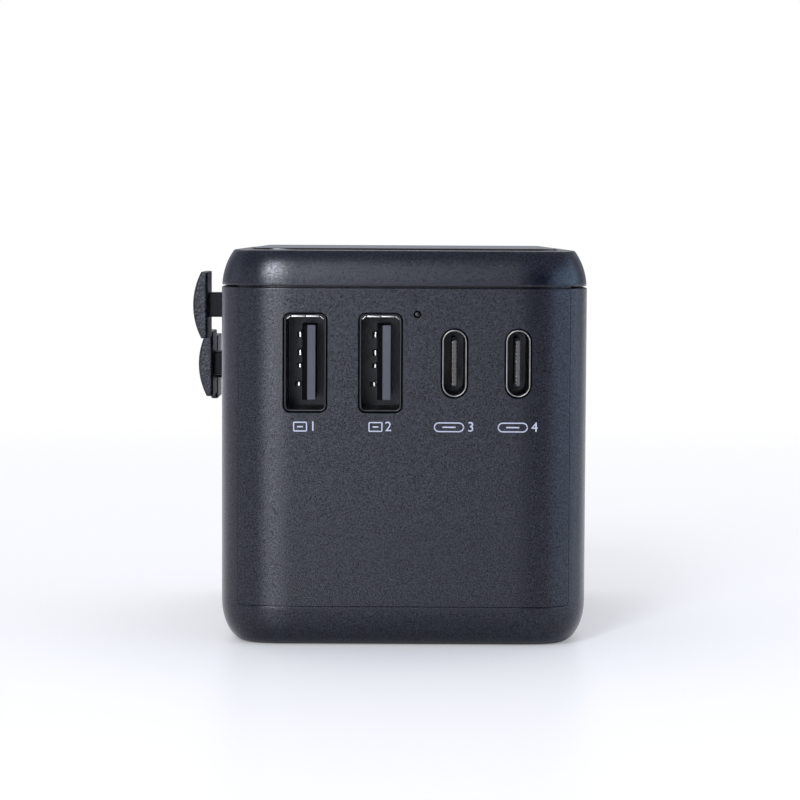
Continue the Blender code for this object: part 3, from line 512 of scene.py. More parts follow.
def make_materials():
    lengthways = (1.0, 1.0, 0.06)
    return {
        "casing_plastic": spark_plastic(
            "casing_spark_plastic", (0.0011, 0.0018, 0.0046), 0.16, 0.009, 0.19, 0.30
        ),
        "knob_plastic": spark_plastic(
            "knob_satin_plastic", (0.0030, 0.0036, 0.0064), 0.26, 0.007, 0.34, 0.44
        ),
        "stem": smooth_plastic("stem_gloss_plastic", (0.002, 0.0023, 0.0034), 0.14, 0.05, 0.14),
        "gloss_black": smooth_plastic("plate_gloss_plastic", (0.006, 0.006, 0.0075), 0.08),
        "inner_plastic": smooth_plastic("inner_black_plastic", (0.010, 0.010, 0.012), 0.42, 0.12),
        "sleeve": smooth_plastic("sleeve_plastic", (0.012, 0.012, 0.014), 0.35, 0.10),
        "shutter_plastic": smooth_plastic("shutter_grey_plastic", (0.055, 0.055, 0.062), 0.40, 0.10),
        "port_tongue": smooth_plastic("tongue_grey_plastic", (0.048, 0.050, 0.062), 0.50, 0.10),
        # Painted shade: the ports' plated steel given a near-black colour for the dark inside of the openings, a
        # shaded copy of port_steel
        "port_dark_metal": drawn_metal("port_steel_painted_shade", (0.045, 0.045, 0.047), 0.30, (1.0, 0.08, 1.0)),
        "nickel": drawn_metal("contact_nickel_plate", (0.80, 0.78, 0.74), 0.25, (1.0, 0.2, 1.0)),
        "smoked": smooth_plastic("smoked_light_pipe", (0.006, 0.006, 0.007), 0.15, 0.05),
        "port_dark": smooth_plastic("port_black_plastic", (0.004, 0.004, 0.005), 0.35, 0.10),
        "port_steel": drawn_metal("port_plated_steel", (0.62, 0.60, 0.57), 0.24, (1.0, 0.08, 1.0)),
        "rim": drawn_metal("port_rim_steel", (0.34, 0.33, 0.30), 0.30, (1.0, 0.08, 1.0)),
        "plated_brass": drawn_metal("pin_nickel_plate", (0.74, 0.72, 0.68), 0.20, lengthways),
        "contact": drawn_metal("contact_gold_plate", (0.86, 0.66, 0.34), 0.22, lengthways),
        "contact_brass": drawn_metal("contact_brass_strip", (0.74, 0.52, 0.24), 0.30, lengthways),
        "spring_steel": drawn_metal("spring_drawn_steel", (0.50, 0.50, 0.52), 0.28, lengthways),
        "screw_steel": drawn_metal("screw_black_steel", (0.10, 0.10, 0.11), 0.34, (1.0, 1.0, 1.0)),
        "fuse_ceramic": smooth_plastic("fuse_ceramic_body", (0.70, 0.68, 0.62), 0.35, 0.10),
        "ferrite": spark_plastic("ferrite_core_body", (0.030, 0.030, 0.033), 0.25, 0.020, 0.55, 0.70),
        "capacitor_sleeve": smooth_plastic("capacitor_blue_sleeve", (0.015, 0.018, 0.07), 0.25, 0.10),
        "circuit_board": circuit_board_material(),
        "winding_tape": winding_material("winding_yellow_tape", (0.62, 0.42, 0.06), 0.35, 1.2),
        "copper_wire": winding_material("choke_copper_wire", (0.72, 0.30, 0.14), 0.28, 0.5, 1.0),
        "light_pipe": clear_material(),
        "ink": smooth_plastic("printed_pale_ink", (0.40, 0.42, 0.48), 0.55, 0.10),
    }


MATERIALS = make_materials()


# ---------------------------------------------------------------- casing


def corner_headings(steps):
    """Headings round a corner whose curve eases in and out, and the share of its length at each."""
    headings = []
    for k in range(steps + 1):
        share = k / steps
        eased = share - CORNER_EASE * math.sin(2 * math.pi * share) / (2 * math.pi)
        headings.append(math.pi / 2 * eased)
    return headings


def smooth_corner(steps=FINE, substeps=8):
    """Points and outward normals of the corner at +X, +Y, as far in from the corner as it reaches."""
    fine = corner_headings(steps * substeps)
    point, points = Vector((0.0, 0.0)), [Vector((0.0, 0.0))]
    for one, other in zip(fine, fine[1:]):
        middle = (one + other) / 2
        point = point + Vector((-math.sin(middle), math.cos(middle)))
        points.append(point.copy())
    scale = CORNER_REACH / -points[-1].x
    corner = []
    for k in range(0, len(points), substeps):
        normal = Vector((math.cos(fine[k]), math.sin(fine[k])))
        place = points[k] * scale + Vector((HALF_X, HALF_Y - CORNER_REACH))
        corner.append((place, normal))
    return corner


def casing_outline():
    """The casing's outline at the seam, with outward normals, anticlockwise."""
    corner = smooth_corner()
    outline = []
    for side_x, side_y in ((1, 1), (-1, 1), (-1, -1), (1, -1)):
        flip = Matrix.Diagonal((side_x, side_y))
        quarter = [(flip @ point, flip @ normal) for point, normal in corner]
        outline += quarter if side_x * side_y > 0 else quarter[::-1]
    return outline


OUTLINE = casing_outline()


def casing_ring(inset, z):
    return [Vector((*(point - inset * normal), z)) for point, normal in OUTLINE]


def lean(z):
    """How far the moulded side has leaned in at a height."""
    return DRAFT * (1 - z / SEAM_Z)


def tub():
    """The casing below the seam, as one wall: round bottom edge, rounded lip at the seam."""
    steps = 14
    arc = quarter_arc(steps)
    run, rise = BOTTOM_RUN - WALL, BOTTOM_RISE - WALL
    outline = [(BOTTOM_RUN * (1 - math.sin(a)), BOTTOM_RISE * (1 - math.cos(a))) for a in arc]
    outline += [(LIP_R * (1 - math.cos(a)), SEAM_Z - LIP_R * (1 - math.sin(a))) for a in quarter_arc(5)]
    outline.append((WALL, SEAM_Z))
    outline += [(BOTTOM_RUN - run * math.sin(a), BOTTOM_RISE - rise * math.cos(a)) for a in reversed(arc)]
    return loft([casing_ring(inset + lean(z), z) for inset, z in outline])


def panel_region(shrink):
    half_x, bottom, top = PANEL_HALF_X - shrink, PANEL_BOTTOM + shrink, SEAM_Z + 6.0
    outline = rounded_rectangle(half_x, (top - bottom) / 2, PANEL_CORNER_R, 10)
    return prism(shifted(outline, 0, (top + bottom) / 2), "Y", FRONT - 2, FRONT + 7)


def on_panel_edge(shrink):
    """A test for points on the outer edge between the front panel and the housing."""

    def test(point):
        inside_x = PANEL_HALF_X - shrink
        bottom = PANEL_BOTTOM + shrink
        on_side = abs(abs(point.x) - inside_x) < NEAR and point.z < SEAM_Z - LIP_R - 2 * NEAR
        low_part = point.z < bottom + PANEL_CORNER_R + NEAR and abs(point.x) < inside_x + NEAR
        outer = point.y < FRONT + outer_drop(abs(point.x)) + WALL / 4
        return outer and (on_side or low_part) and point.z > bottom - NEAR

    return test


def outer_drop(x):
    """How far back the casing's outside is from its front plane, at a distance from the middle."""
    corner = [point for point, _ in smooth_corner()]
    for one, other in zip(corner, corner[1:]):
        if other.x <= x <= one.x:
            share = (x - other.x) / (one.x - other.x)
            return HALF_Y - (other.y + share * (one.y - other.y))
    return 0.0


def make_housing():
    shell = cut(tub(), panel_region(0))
    shell = bevel_edges(shell, on_panel_edge(0), PANEL_EDGE_R)
    cutters = []
    for knob in ("uk_knob", "eu_knob", "us_knob"):
        centre = cad_centre(knob)
        slider = next(j for j in frame["joints"] if j["name"] == knob[:2] + "_slider")
        travel = slider["range_m"][1] / MM
        slot = rectangle_at(SLOT_HALF, SLOT_HALF + travel / 2, SLOT_CORNER_R, centre.y, centre.z - travel / 2)
        cutters.append(mouth_cutter(slot, "X", -HALF_X + SLOT_SUNK, 1, SIDE_CUT))
    side_port = cad_centre("usb_c_1_shell")
    port_hole = rectangle_at(*USB_C_HOLE, side_port.y, side_port.z, 12)
    cutters.append(mouth_cutter(port_hole, "X", HALF_X - PORT_SUNK, -1, SIDE_CUT))
    for node in SCREWS:
        x, y, _ = cad_centre(node)
        shell = joined(shell, prism(shifted(circle(SCREW_BOSS_R, 40), x, y), "Z", BOSS_LOW, BOSS_HIGH))
        cutters.append(mouth_cutter(circle_at(SCREW_HOLE_R, x, y), "Z", 0, 1, SCREW_CUT))
        cutters.append(prism(shifted(circle(SHANK_HOLE_R, 24), x, y), "Z", BOSS_LOW, SHANK_HOLE_HIGH))
    flat_pins = (("uk_live_pin", UK_HOLE), ("uk_neutral_pin", UK_HOLE), ("uk_earth_pin", UK_EARTH_HOLE))
    for node, size in flat_pins:
        centre = cad_centre(node)
        cutters.append(mouth_cutter(rectangle_at(*size, centre.x, centre.y), "Z", 0, 1, BOTTOM_CUT))
    round_holes = []
    for side in ("left", "right"):
        round_holes += [(f"eu_{side}_pin", EU_HOLE_R), (f"us_{side}_turret", TURRET_HOLE_R)]
    for node, radius in (*round_holes, ("fuse_cap", FUSE_HOLE_R)):
        centre = cad_centre(node)
        cutters.append(mouth_cutter(circle_at(radius, centre.x, centre.y), "Z", 0, 1, BOTTOM_CUT))
    shell = cut(shell, *cutters)
    piece("housing_shell", shell, "casing_plastic", "case", ["main_housing"])


def make_front_panel():
    panel = combined("INTERSECT", tub(), [panel_region(PANEL_GAP)])
    panel = bevel_edges(panel, on_panel_edge(PANEL_GAP), PANEL_EDGE_R)
    cutters = []
    for port in ("usb_a_1", "usb_a_2", "usb_c_2", "usb_c_3"):
        centre = cad_centre(f"{port}_shell")
        size = USB_A_HOLE if "usb_a" in port else USB_C_HOLE
        surface = FRONT + lean(centre.z)
        cutters.append(mouth_cutter(rectangle_at(*size, centre.x, centre.z, 12), "Y", surface, 1, SIDE_CUT))
    light = cad_centre("led_light_pipe")
    hole = circle_at(LIGHT_HOLE_R, light.x, light.z, 24)
    cutters.append(mouth_cutter(hole, "Y", FRONT + lean(light.z), 1, SIDE_CUT, 0.08))
    panel = cut(panel, *cutters)
    piece("front_panel_shell", panel, "casing_plastic", "case", ["front_panel"])


def make_top_cover():
    """Swept round the casing's outline: rounded lip, curved side, edge, flat top, and the plate's ledge."""
    low = SEAM_Z + SEAM_GAP
    arc_top = TOP_Z - CAP_EDGE_R
    steps = 14

    def side_inset(z):
        return CAP_SIDE_R - math.sqrt(CAP_SIDE_R**2 - (z - SEAM_Z) ** 2)

    lip = 0.10
    outline = [(lip * (1 - math.sin(a)), low + lip * (1 - math.cos(a))) for a in quarter_arc(3)]
    levels = [low + lip + (arc_top - low - lip) * k / steps for k in range(1, steps + 1)]
    outline += [(side_inset(z), z) for z in levels]
    lean_angle = math.asin((arc_top - SEAM_Z) / CAP_SIDE_R)
    start = side_inset(arc_top)
    rounding = [lean_angle + (math.pi / 2 - lean_angle) * k / 6 for k in range(1, 7)]
    rise = CAP_EDGE_R / (1 - math.sin(lean_angle))
    outline += [
        (
            start + rise * (math.cos(lean_angle) - math.cos(a)),
            arc_top + rise * (math.sin(a) - math.sin(lean_angle)),
        )
        for a in rounding
    ]
    opening = HALF_X - PLATE_HIGH.x - PLATE_GAP - CAP_INSET
    ledge, ledge_wide, ledge_thick = PLATE_LOW.z + 1.7, 1.4, 1.6
    fillet = 0.12
    tongue_in, tongue_out, tongue_low = 3.0, 2.1, SEAM_Z - 1.0  # runs inside the housing's wall
    for angle in (1.57, 0.8, 0.0):
        outline.append((opening - fillet * math.cos(angle), TOP_Z - fillet * (1 - math.sin(angle))))
    outline += [
        (opening, ledge),
        (opening + ledge_wide, ledge),
        (opening + ledge_wide, ledge - ledge_thick),
        (tongue_in, ledge - ledge_thick),
        (tongue_in, tongue_low),
        (tongue_out, tongue_low),
        (tongue_out, low),
    ]
    cover = loft([casing_ring(inset + CAP_INSET, z) for inset, z in outline], closed=True)
    arm, arm_half = cad_centre("uk_knob").y, 4.3
    notch = block((-HALF_X + WALL, -18.5), (arm - arm_half, arm + arm_half), (SEAM_Z - 2, SEAM_Z + 1.9))
    cover = cut(cover, notch)
    piece("top_cover_shell", cover, "casing_plastic", "case", ["top_cover"])


def make_socket_plate():
    inset = HALF_X - PLATE_HIGH.x

    def grown(d):
        return [point - (inset - d) * normal for point, normal in OUTLINE]

    plate = rounded_prism(grown, "Z", PLATE_HIGH.z - 2.1, PLATE_HIGH.z, 0, 0.25)
    live_y = cad("safety_shutter")[0].y + SHUTTER_LAP
    outlines = [rectangle_at(*EARTH_SOCKET, 0, live_y + EARTH_OFFSET)]
    for side in (-1, 1):
        outlines.append(rectangle_at(*UK_SOCKET, side * UK_SOCKET_X, live_y))
        outlines.append(circle_at(EU_SOCKET_R, side * EU_SOCKET_X, live_y))
        for lean_angle in (0, AUSTRALIAN_LEAN):
            outlines.append(rectangle_at(*US_SOCKET, side * US_SOCKET_X, live_y, 6, side * lean_angle))
    holes = [mouth_cutter(hole, "Z", PLATE_HIGH.z, -1, SOCKET_CUT, SOCKET_FLARE) for hole in outlines]
    plate = cut(plate, *holes)
    piece("socket_plate_gloss", plate, "gloss_black", "case", ["socket_plate"])


# ---------------------------------------------------------------- ports


def port_frame(port):
    """Moves a shape made for a front port, centred on X and Z with its mouth at Y 0, to its port."""
    centre = cad_centre(f"{port}_shell")
    if port == "usb_c_1":
        turn = Matrix.Rotation(math.radians(90), 4, "Z")
        return Matrix.Translation((HALF_X - lean(centre.z), centre.y, centre.z)) @ turn
    return Matrix.Translation((centre.x, FRONT + lean(centre.z), centre.z))


def port_piece(port, part, solid, look, replaces=()):
    solid.data.transform(port_frame(port))
    return piece(f"{port}_{part}", solid, look, "case", replaces)


def tube(size, wall, front, back, rim):
    """A drawn metal mouth with a rounded rim, open towards the front and closed at the back."""
    half_u, half_v, radius = size

    def ring(inset, y):
        outline = rounded_rectangle(half_u - inset, half_v - inset, max(radius - inset, 0.05), 12)
        return [placed(u, v, y, "Y") for u, v in outline]

    outer = [(0.0, back), (0.0, front + rim)]
    rounding = [math.radians(180 * k / 8) for k in range(9)]
    lip = [(wall / 2 * (1 - math.cos(a)), front + rim * (1 - math.sin(a))) for a in rounding]
    inner = [(wall, front + rim), (wall, back - 0.3)]
    return loft([ring(inset, y) for inset, y in outer + lip[1:-1] + inner])


def make_usb_a(port):
    # Painted shade: the shell's steel is near-black for the dark inside of the port, while the lips and bows in
    # front are the same steel left bright
    shell = tube(USB_A_SHELL, USB_A_WALL, 0.55, PORT_BACK, 0.12)
    port_piece(port, "liner", shell, "port_dark_metal", [f"{port}_shell"])
    lips = []
    for low, high in ((-1.86, -0.07), (0.07, 1.82)):
        flap = rectangle_at((high - low) / 2, 0.11, 0.05, (low + high) / 2, 6.20, 3)
        lips.append(rounded_prism(flap, "Y", 0.50, 1.6, 0.06, 0))
    for side in (-1, 1):
        bow = rectangle_at(0.33, 0.05, 0.045, side * 2.22, 6.02, 3, side * -38)
        lips.append(rounded_prism(bow, "Y", 0.55, 1.4, 0.03, 0))
    port_piece(port, "lip", joined(lips[0], *lips[1:]), "port_steel")
    tongue = rounded_prism(rectangle_at(0.555, 5.0, 0.12, 0.81, 0, 4), "Y", 1.2, TONGUE_BACK, 0.08, 0)
    port_piece(port, "tongue_core", tongue, "port_tongue", [f"{port}_tongue"])
    wedge = [(0.25, 1.5), (0.05, 1.75), (-0.45, 2.5), (-0.45, TONGUE_BACK), (0.25, TONGUE_BACK)]
    carrier = prism([Vector(corner) for corner in wedge], "Z", -5.05, 5.05)
    port_piece(port, "contact_carrier", carrier, "port_dark")
    contacts = ((3.72, 0.62, 0.47), (1.30, 0.62, 0.47), (-0.45, 0.66, 0.34), (-2.90, 0.95, 0.36))
    for number, (height, reach, half) in enumerate(contacts, start=1):
        leaf = spring_leaf(reach, half)
        leaf.data.transform(Matrix.Translation((0, 0, height)))
        port_piece(port, f"contact_{number}", leaf, "nickel")


def spring_leaf(reach, half):
    """A contact strip that bows out of the tongue's side and back in."""
    steps, thick = 14, 0.16
    rings = []
    for k in range(steps + 1):
        share = k / steps
        y = 1.75 + 3.6 * share
        out = reach * math.sin(math.pi * min(share * 1.25 + 0.12, 1.0)) ** 0.8
        x = -0.42 - out
        width = half * (0.72 + 0.28 * min(share * 5, 1.0))
        outline = rounded_rectangle(thick / 2, width, 0.05, 2)
        rings.append([Vector((x + u, y, v)) for u, v in outline])
    return loft(rings)


def make_usb_c(port):
    shell = tube(USB_C_SHELL, USB_C_WALL, 0.20, PORT_BACK, USB_C_WALL / 2)
    port_piece(port, "sleeve", shell, "rim", [f"{port}_shell"])
    # Painted shade: a near-black metal tube inside the sleeve, for the dark inside of the port
    painted_shade_lining = tube(USB_C_SHADE_LINING, 0.06, 0.55, PORT_BACK - 0.4, 0.03)
    port_piece(port, "painted_shade_lining", painted_shade_lining, "port_dark_metal")
    tongue = rounded_prism(rectangle_at(0.22, 3.05, 0.12, 0, 0, 4), "Y", 1.0, 7.5, 0.06, 0)
    root = rounded_prism(rectangle_at(0.35, 3.35, 0.3, 0, 0, 4), "Y", 4.6, TONGUE_BACK, 0.1, 0)
    tongue = joined(tongue, root)
    port_piece(port, "tongue_core", tongue, "port_tongue", [f"{port}_tongue"])
    pads = []
    for side in (-1, 1):
        x = side * 0.235
        for k in range(USB_C_PADS):
            z = (k - (USB_C_PADS - 1) / 2) * PAD_PITCH
            pads.append(block((x - 0.03, x + 0.03), (1.7, 5.2), (z - PAD_HALF, z + PAD_HALF)))
    port_piece(port, "contact_pads", merged(pads), "contact")


def merged(solids):
    """Several separate solids as one object."""
    bm = bmesh.new()
    for solid in solids:
        bm.from_mesh(solid.data)
        bpy.data.objects.remove(solid)
    return solid_from(bm)


def make_light_pipe():
    centre = cad_centre("led_light_pipe")
    back = cad("led_light_pipe")[1].y
    pipe = rounded_prism(circle_at(0.46, centre.x, centre.z, 32), "Y", FRONT + 0.75, back, 0.2, 0)
    piece("light_pipe_smoked", pipe, "smoked", "case", ["led_light_pipe"])


# ---------------------------------------------------------------- printed marks


def stroke(points, width, closed):
    """A flat line of ink along points in X and Z, as a thin solid facing the front."""
    rings = []
    count = len(points)
    for k, point in enumerate(points):
        before = points[k - 1] if closed or k else point
        after = points[(k + 1) % count] if closed or k < count - 1 else point
        along = (after - before).normalized()
        side = Vector((-along.y, along.x)) * width / 2
        corners = ((side, 0.0), (-side, 0.0), (-side, INK_THICK), (side, INK_THICK))
        rings.append([placed(point.x + d.x, point.y + d.y, y, "Y") for d, y in corners])
    return loft(rings, closed=closed)


def numeral(text, height):
    """A number as a thin solid, centred, standing up and facing the front."""
    curve = bpy.data.curves.new("numeral", "FONT")
    curve.body = text
    curve.size = height * 1.42  # the font's figures are about 0.7 of its size
    curve.align_x = "CENTER"
    curve.align_y = "CENTER"
    curve.extrude = INK_THICK / 2
    curve.resolution_u = 6
    holder = scene_object("numeral", curve)
    mesh = evaluated_mesh(holder)
    bpy.data.objects.remove(holder)
    mesh.transform(Matrix.Translation((0, INK_THICK / 2, 0)) @ Matrix.Rotation(math.radians(90), 4, "X"))
    return scene_object("numeral", mesh)


def make_marks():
    """Under each port: its outline in ink and a plain number."""
    usb_a, usb_c = (0.86, 0.12, 0.42), (1.95, 0.62, 0.55)
    marks_by_port = {"usb_a_1": usb_a, "usb_a_2": usb_a, "usb_c_2": usb_c, "usb_c_3": usb_c}
    for number, (port, (half_u, radius, gap)) in enumerate(marks_by_port.items(), start=1):
        centre = cad_centre(f"{port}_shell")
        outline = rounded_rectangle(half_u, 0.58, radius, 6)
        total = 2 * half_u + gap + 2 * FIGURE_HALF
        middle = half_u - total / 2
        ring = stroke(shifted(outline, middle, 0), 0.15, True)
        bar_half = 0.45 * half_u
        bar = stroke([Vector((middle - bar_half, 0)), Vector((middle + bar_half, 0))], 0.17, False)
        digit = numeral(str(number), FIGURE_HEIGHT)
        digit.data.transform(Matrix.Translation((total / 2 - FIGURE_HALF, 0, 0)))
        marks = merged([ring, bar, digit])
        y = FRONT + lean(MARK_Z) - INK_THICK * 0.6
        marks.data.transform(Matrix.Translation((centre.x, y, MARK_Z)))
        piece(f"{port}_mark", marks, "ink", "case", sharp=60)


# ---------------------------------------------------------------- knobs


def filleted(corners, radius, steps=5):
    """Rounds the convex corners of an anticlockwise outline given as (point, whether to round)."""
    outline = []
    count = len(corners)
    for k, (corner, is_rounded) in enumerate(corners):
        if not is_rounded:
            outline.append(corner)
            continue
        to_last = (corners[k - 1][0] - corner).normalized()
        to_next = (corners[(k + 1) % count][0] - corner).normalized()
        half = to_last.angle(to_next) / 2
        centre = corner + (to_last + to_next).normalized() * radius / math.sin(half)
        start = corner + to_last * radius / math.tan(half) - centre
        end = corner + to_next * radius / math.tan(half) - centre
        for step in range(steps + 1):
            share = step / steps
            arm = (start * (1 - share) + end * share).normalized() * radius
            outline.append(centre + arm)
    return outline


def make_knob(plug):
    """A domed button, rounded on every edge, on a square glossy stem."""
    low, high = cad(f"{plug}_knob")
    centre = cad_centre(f"{plug}_knob")
    flat = -HALF_X - KNOB_GAP
    half = (high.z - low.z) / 2
    rise = flat - low.x - KNOB_END
    dome_r = (half**2 + rise**2) / (2 * rise)

    def grown(d):
        sweep = math.asin((half + d) / (dome_r + d))
        corners = [(Vector((flat + d, -half - d)), True), (Vector((flat + d, half + d)), True)]
        steps = 28
        for k in range(steps + 1):
            angle = sweep * (1 - 2 * k / steps)
            across = (dome_r + d) * math.cos(angle) - (dome_r - rise)
            point = Vector((flat - KNOB_END - across, (dome_r + d) * math.sin(angle)))
            corners.append((point, k in (0, steps)))
        return shifted(filleted(corners, KNOB_FILLET), 0, centre.z)

    button = rounded_prism(grown, "Y", low.y, high.y, KNOB_EDGE_R, KNOB_EDGE_R, 6)
    square = rectangle_at(STEM_HALF, STEM_HALF, 0.3, centre.y, centre.z, 4)
    stem = prism(square(0), "X", flat - 0.3, STEM_END_X)
    carrier = f"{plug}_button"
    piece(f"{plug}_knob_cap", button, "knob_plastic", carrier, [f"{plug}_knob"])
    piece(f"{plug}_knob_stem", stem, "stem", carrier)


# ---------------------------------------------------------------- plugs, fuse and screws


def make_uk_pins():
    for pin in ("uk_live_pin", "uk_neutral_pin", "uk_earth_pin"):
        low, high = cad(pin)
        centre = cad_centre(pin)
        half = UK_EARTH_HALF if "earth" in pin else UK_PIN_HALF
        grown = rectangle_at(*half, 0.35, centre.x, centre.y, 5)
        solid = rounded_prism(grown, "Z", low.z, high.z - TANG, UK_TIP_R, 0.0, 6)
        piece(f"{pin}_blade", solid, "plated_brass", "uk_plug", [pin])


def make_eu_pins():
    for side in ("left", "right"):
        pin, sleeve = f"eu_{side}_pin", f"eu_{side}_sleeve"
        low, high = cad(pin)
        sleeve_low, sleeve_high = cad(sleeve)
        x, y, _ = cad_centre(sleeve)
        radius = (sleeve_high.x - sleeve_low.x) / 2
        bare = circle_at(radius - 0.02, x, y)
        metal = rounded_prism(bare, "Z", low.z, sleeve_low.z - 0.1, radius * 0.9, 0.0, 10)
        core = prism(shifted(circle(radius * 0.7), x, y), "Z", sleeve_low.z - 1, high.z - TANG)
        piece(f"{pin}_rod", joined(metal, core), "plated_brass", "eu_plug", [pin])
        cover = rounded_prism(circle_at(radius, x, y), "Z", sleeve_low.z, sleeve_high.z, 0.25)
        piece(f"{sleeve}_tube", cover, "sleeve", "eu_plug", [sleeve])


def make_us_blades():
    for side in ("left", "right"):
        body = f"us_{side}_contact"
        turret, blade = f"us_{side}_turret", f"us_{side}_blade"
        low, high = cad(turret)
        x, y, _ = cad_centre(turret)
        disc = rounded_prism(circle_at(TURRET_R, x, y, 64), "Z", low.z, high.z, 0.3, 0.0, 5)
        inner_r = TURRET_R - TURRET_RIM
        groove = rounded_prism(circle_at(inner_r, x, y, 64), "Z", low.z - 1, low.z + 0.25)
        island = prism(shifted(circle(inner_r - TURRET_GROOVE, 64), x, y), "Z", low.z, low.z + 0.6)
        disc = joined(cut(disc, groove), island)
        piece(f"{turret}_disc", disc, "sleeve", body, [turret])
        blade_low = cad(blade)[0]
        grown = rectangle_at(*US_BLADE_HALF, 0.12, x, y, 4)
        solid = rounded_prism(grown, "Z", blade_low.z, low.z + 2.0, US_TIP_R, 0.0, 6)
        piece(f"{blade}_strip", solid, "plated_brass", body, [blade])


def make_fuse_cap():
    """A round cap with a coin slot."""
    low, high = cad("fuse_cap")
    x, y, _ = cad_centre("fuse_cap")
    cap = rounded_prism(circle_at(FUSE_CAP_R, x, y, 72), "Z", low.z, high.z, 0.35, 0.0, 5)
    slot = mouth_cutter(rectangle_at(*COIN_SLOT, x, y, 6), "Z", low.z, 1, 1.3, 0.2)
    cap = cut(cap, slot)
    piece("fuse_cap_slotted", cap, "sleeve", "fuse_drawer", ["fuse_cap"])


def make_screws():
    for node in SCREWS:
        low, high = cad(node)
        x, y, _ = cad_centre(node)
        head = rounded_prism(circle_at(SCREW_HEAD_R, x, y), "Z", low.z, low.z + SCREW_HEAD, 0.45, 0.0, 6)
        cross = []
        for half in (CROSS_HALF, CROSS_HALF[::-1]):
            cross.append(mouth_cutter(rectangle_at(*half, 0.1, x, y, 3), "Z", low.z, 1, 0.75, 0.08, 3))
        head = cut(head, *cross)
        shank = prism(shifted(circle(SHANK_R, 24), x, y), "Z", low.z + 1.0, high.z)
        screw = joined(head, shank)
        piece(f"{node}_cross_head", screw, "screw_steel", "case", [node])


# ---------------------------------------------------------------- springs


def make_spring(node, along, turns, wire_r, joint_name, body):
    """A wound spring the size of its CAD node, with its own mesh. Its joint's fixed end is read but not used."""
    low, high = cad(node)
    centre = cad_centre(node)
    axis = "XYZ".index(along)
    others = [k for k in range(3) if k != axis]
    radius = min(high[k] - low[k] for k in others) / 2 - wire_r
    start, length = low[axis] + wire_r, high[axis] - low[axis] - 2 * wire_r
    rings = []
    steps, sides = round(turns * 24), 10
    for k in range(steps + 1):
        angle = 2 * math.pi * turns * k / steps
        ring = []
        for side in range(sides):
            spin = 2 * math.pi * side / sides
            reach = radius + wire_r * math.cos(spin)
            u = centre[others[0]] + reach * math.cos(angle)
            v = centre[others[1]] + reach * math.sin(angle)
            ring.append(placed(u, v, start + length * k / steps + wire_r * math.sin(spin), along))
        rings.append(ring)
    spring = piece(f"{node}_coil", loft(rings), "spring_steel", body, [node])
    joint = next(j for j in frame["joints"] if j["name"] == joint_name)
    fixed = next(d for d in joint["deforming_nodes"] if d["node"] == node)
    anchor = centre * MM
    anchor[axis] = fixed[f"fixed_end_{along.lower()}_m"]
    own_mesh(spring)


def make_springs():
    for plug in ("uk", "eu", "us"):
        make_spring(f"{plug}_latch_spring", "X", 3.5, 0.17, f"{plug}_button_press", f"{plug}_plug")
    make_spring("shutter_spring", "Y", 16, 0.12, "shutter_slide", "case")


# ---------------------------------------------------------------- stage, light and camera


def make_stage():
    """A pale floor. To the camera it glows with painted light: faintly near the object, which lightens the shadows
    there, and more further out, until it matches the background, as a lit sweep does.
    """
    bm = bmesh.new()
    bmesh.ops.create_circle(bm, cap_ends=True, segments=64, radius=3.0)
    mesh = bpy.data.meshes.new("floor")
    bm.to_mesh(mesh)
    bm.free()
    floor = scene_object("floor", mesh)
    floor.location.z = -0.00005
    m = Nodes("floor_white_acrylic", (0.90, 0.885, 0.875), 0.28)
    m.roughness(m.remap(m.noise(400.0, 1.0), 0.3, 0.7, 0.28, 0.30))
    m.set("Specular IOR Level", 0.45)
    distance = m.add("ShaderNodeVectorMath", operation="LENGTH")
    m.link(m.place, distance.inputs[0])
    rays = m.add("ShaderNodeLightPath")
    # Painted light: for camera rays the floor is mixed with a glow, from 0.28 near the object to full at 0.42 m
    # out
    painted_glow_share = m.remap(distance.outputs["Value"], 0.04, 0.42, 0.28, 1)
    fade = maths_node(m.tree, "MULTIPLY", rays.outputs["Is Camera Ray"], painted_glow_share)
    painted_glow = m.add("ShaderNodeEmission")
    blend = m.add("ShaderNodeMixShader")
    m.link(fade, blend.inputs[0])
    m.link(m.shader.outputs[0], blend.inputs[1])
    m.link(painted_glow.outputs[0], blend.inputs[2])
    m.link(blend.outputs[0], m.tree.nodes["Material Output"].inputs["Surface"])
    mesh.materials.append(m.material)


def make_light():
    """One soft box, in front, above and to the left, in metres."""
    data = bpy.data.lights.new("key_softbox", "AREA")
    data.shape = "RECTANGLE"
    data.size, data.size_y = 0.24, 0.56
    data.energy = 8.6
    data.color = (0.94, 0.98, 1.10)
    position, target = Vector((-0.345, -1.085, 0.765)), Vector((0, 0, 0.03))
    light = scene_object("key_softbox", data)
    light.location = position
    light.rotation_mode = "QUATERNION"
    light.rotation_quaternion = (target - position).to_track_quat("-Z", "Y")


class Surroundings:
    """Builds the studio round the object as soft patches of light, from the direction looked in."""

    def __init__(self, tree, start):
        self.tree = tree
        place = tree.nodes.new("ShaderNodeTexCoord").outputs["Generated"]
        axes = tree.nodes.new("ShaderNodeSeparateXYZ")
        tree.links.new(place, axes.inputs[0])
        self.x, self.y, self.z = axes.outputs
        self.light = tree.nodes.new("ShaderNodeRGB").outputs[0]
        self.light.default_value = (*start, 1)

    def step(self, value, low, high):
        """0 at low and 1 at high, eased between. Low may be the greater."""
        ends = (low, high, 0.0, 1.0) if low < high else (high, low, 1.0, 0.0)
        return remap_node(self.tree, value, *ends, "SMOOTHSTEP")

    def patch(self, colour, *masks):
        mask = masks[0]
        for other in masks[1:]:
            mask = maths_node(self.tree, "MULTIPLY", mask, other)
        node = self.tree.nodes.new("ShaderNodeMix")
        node.data_type = "RGBA"
        self.tree.links.new(mask, node.inputs[0])
        self.tree.links.new(self.light, node.inputs[6])
        node.inputs[7].default_value = (*colour, 1)
        self.light = node.outputs[2]


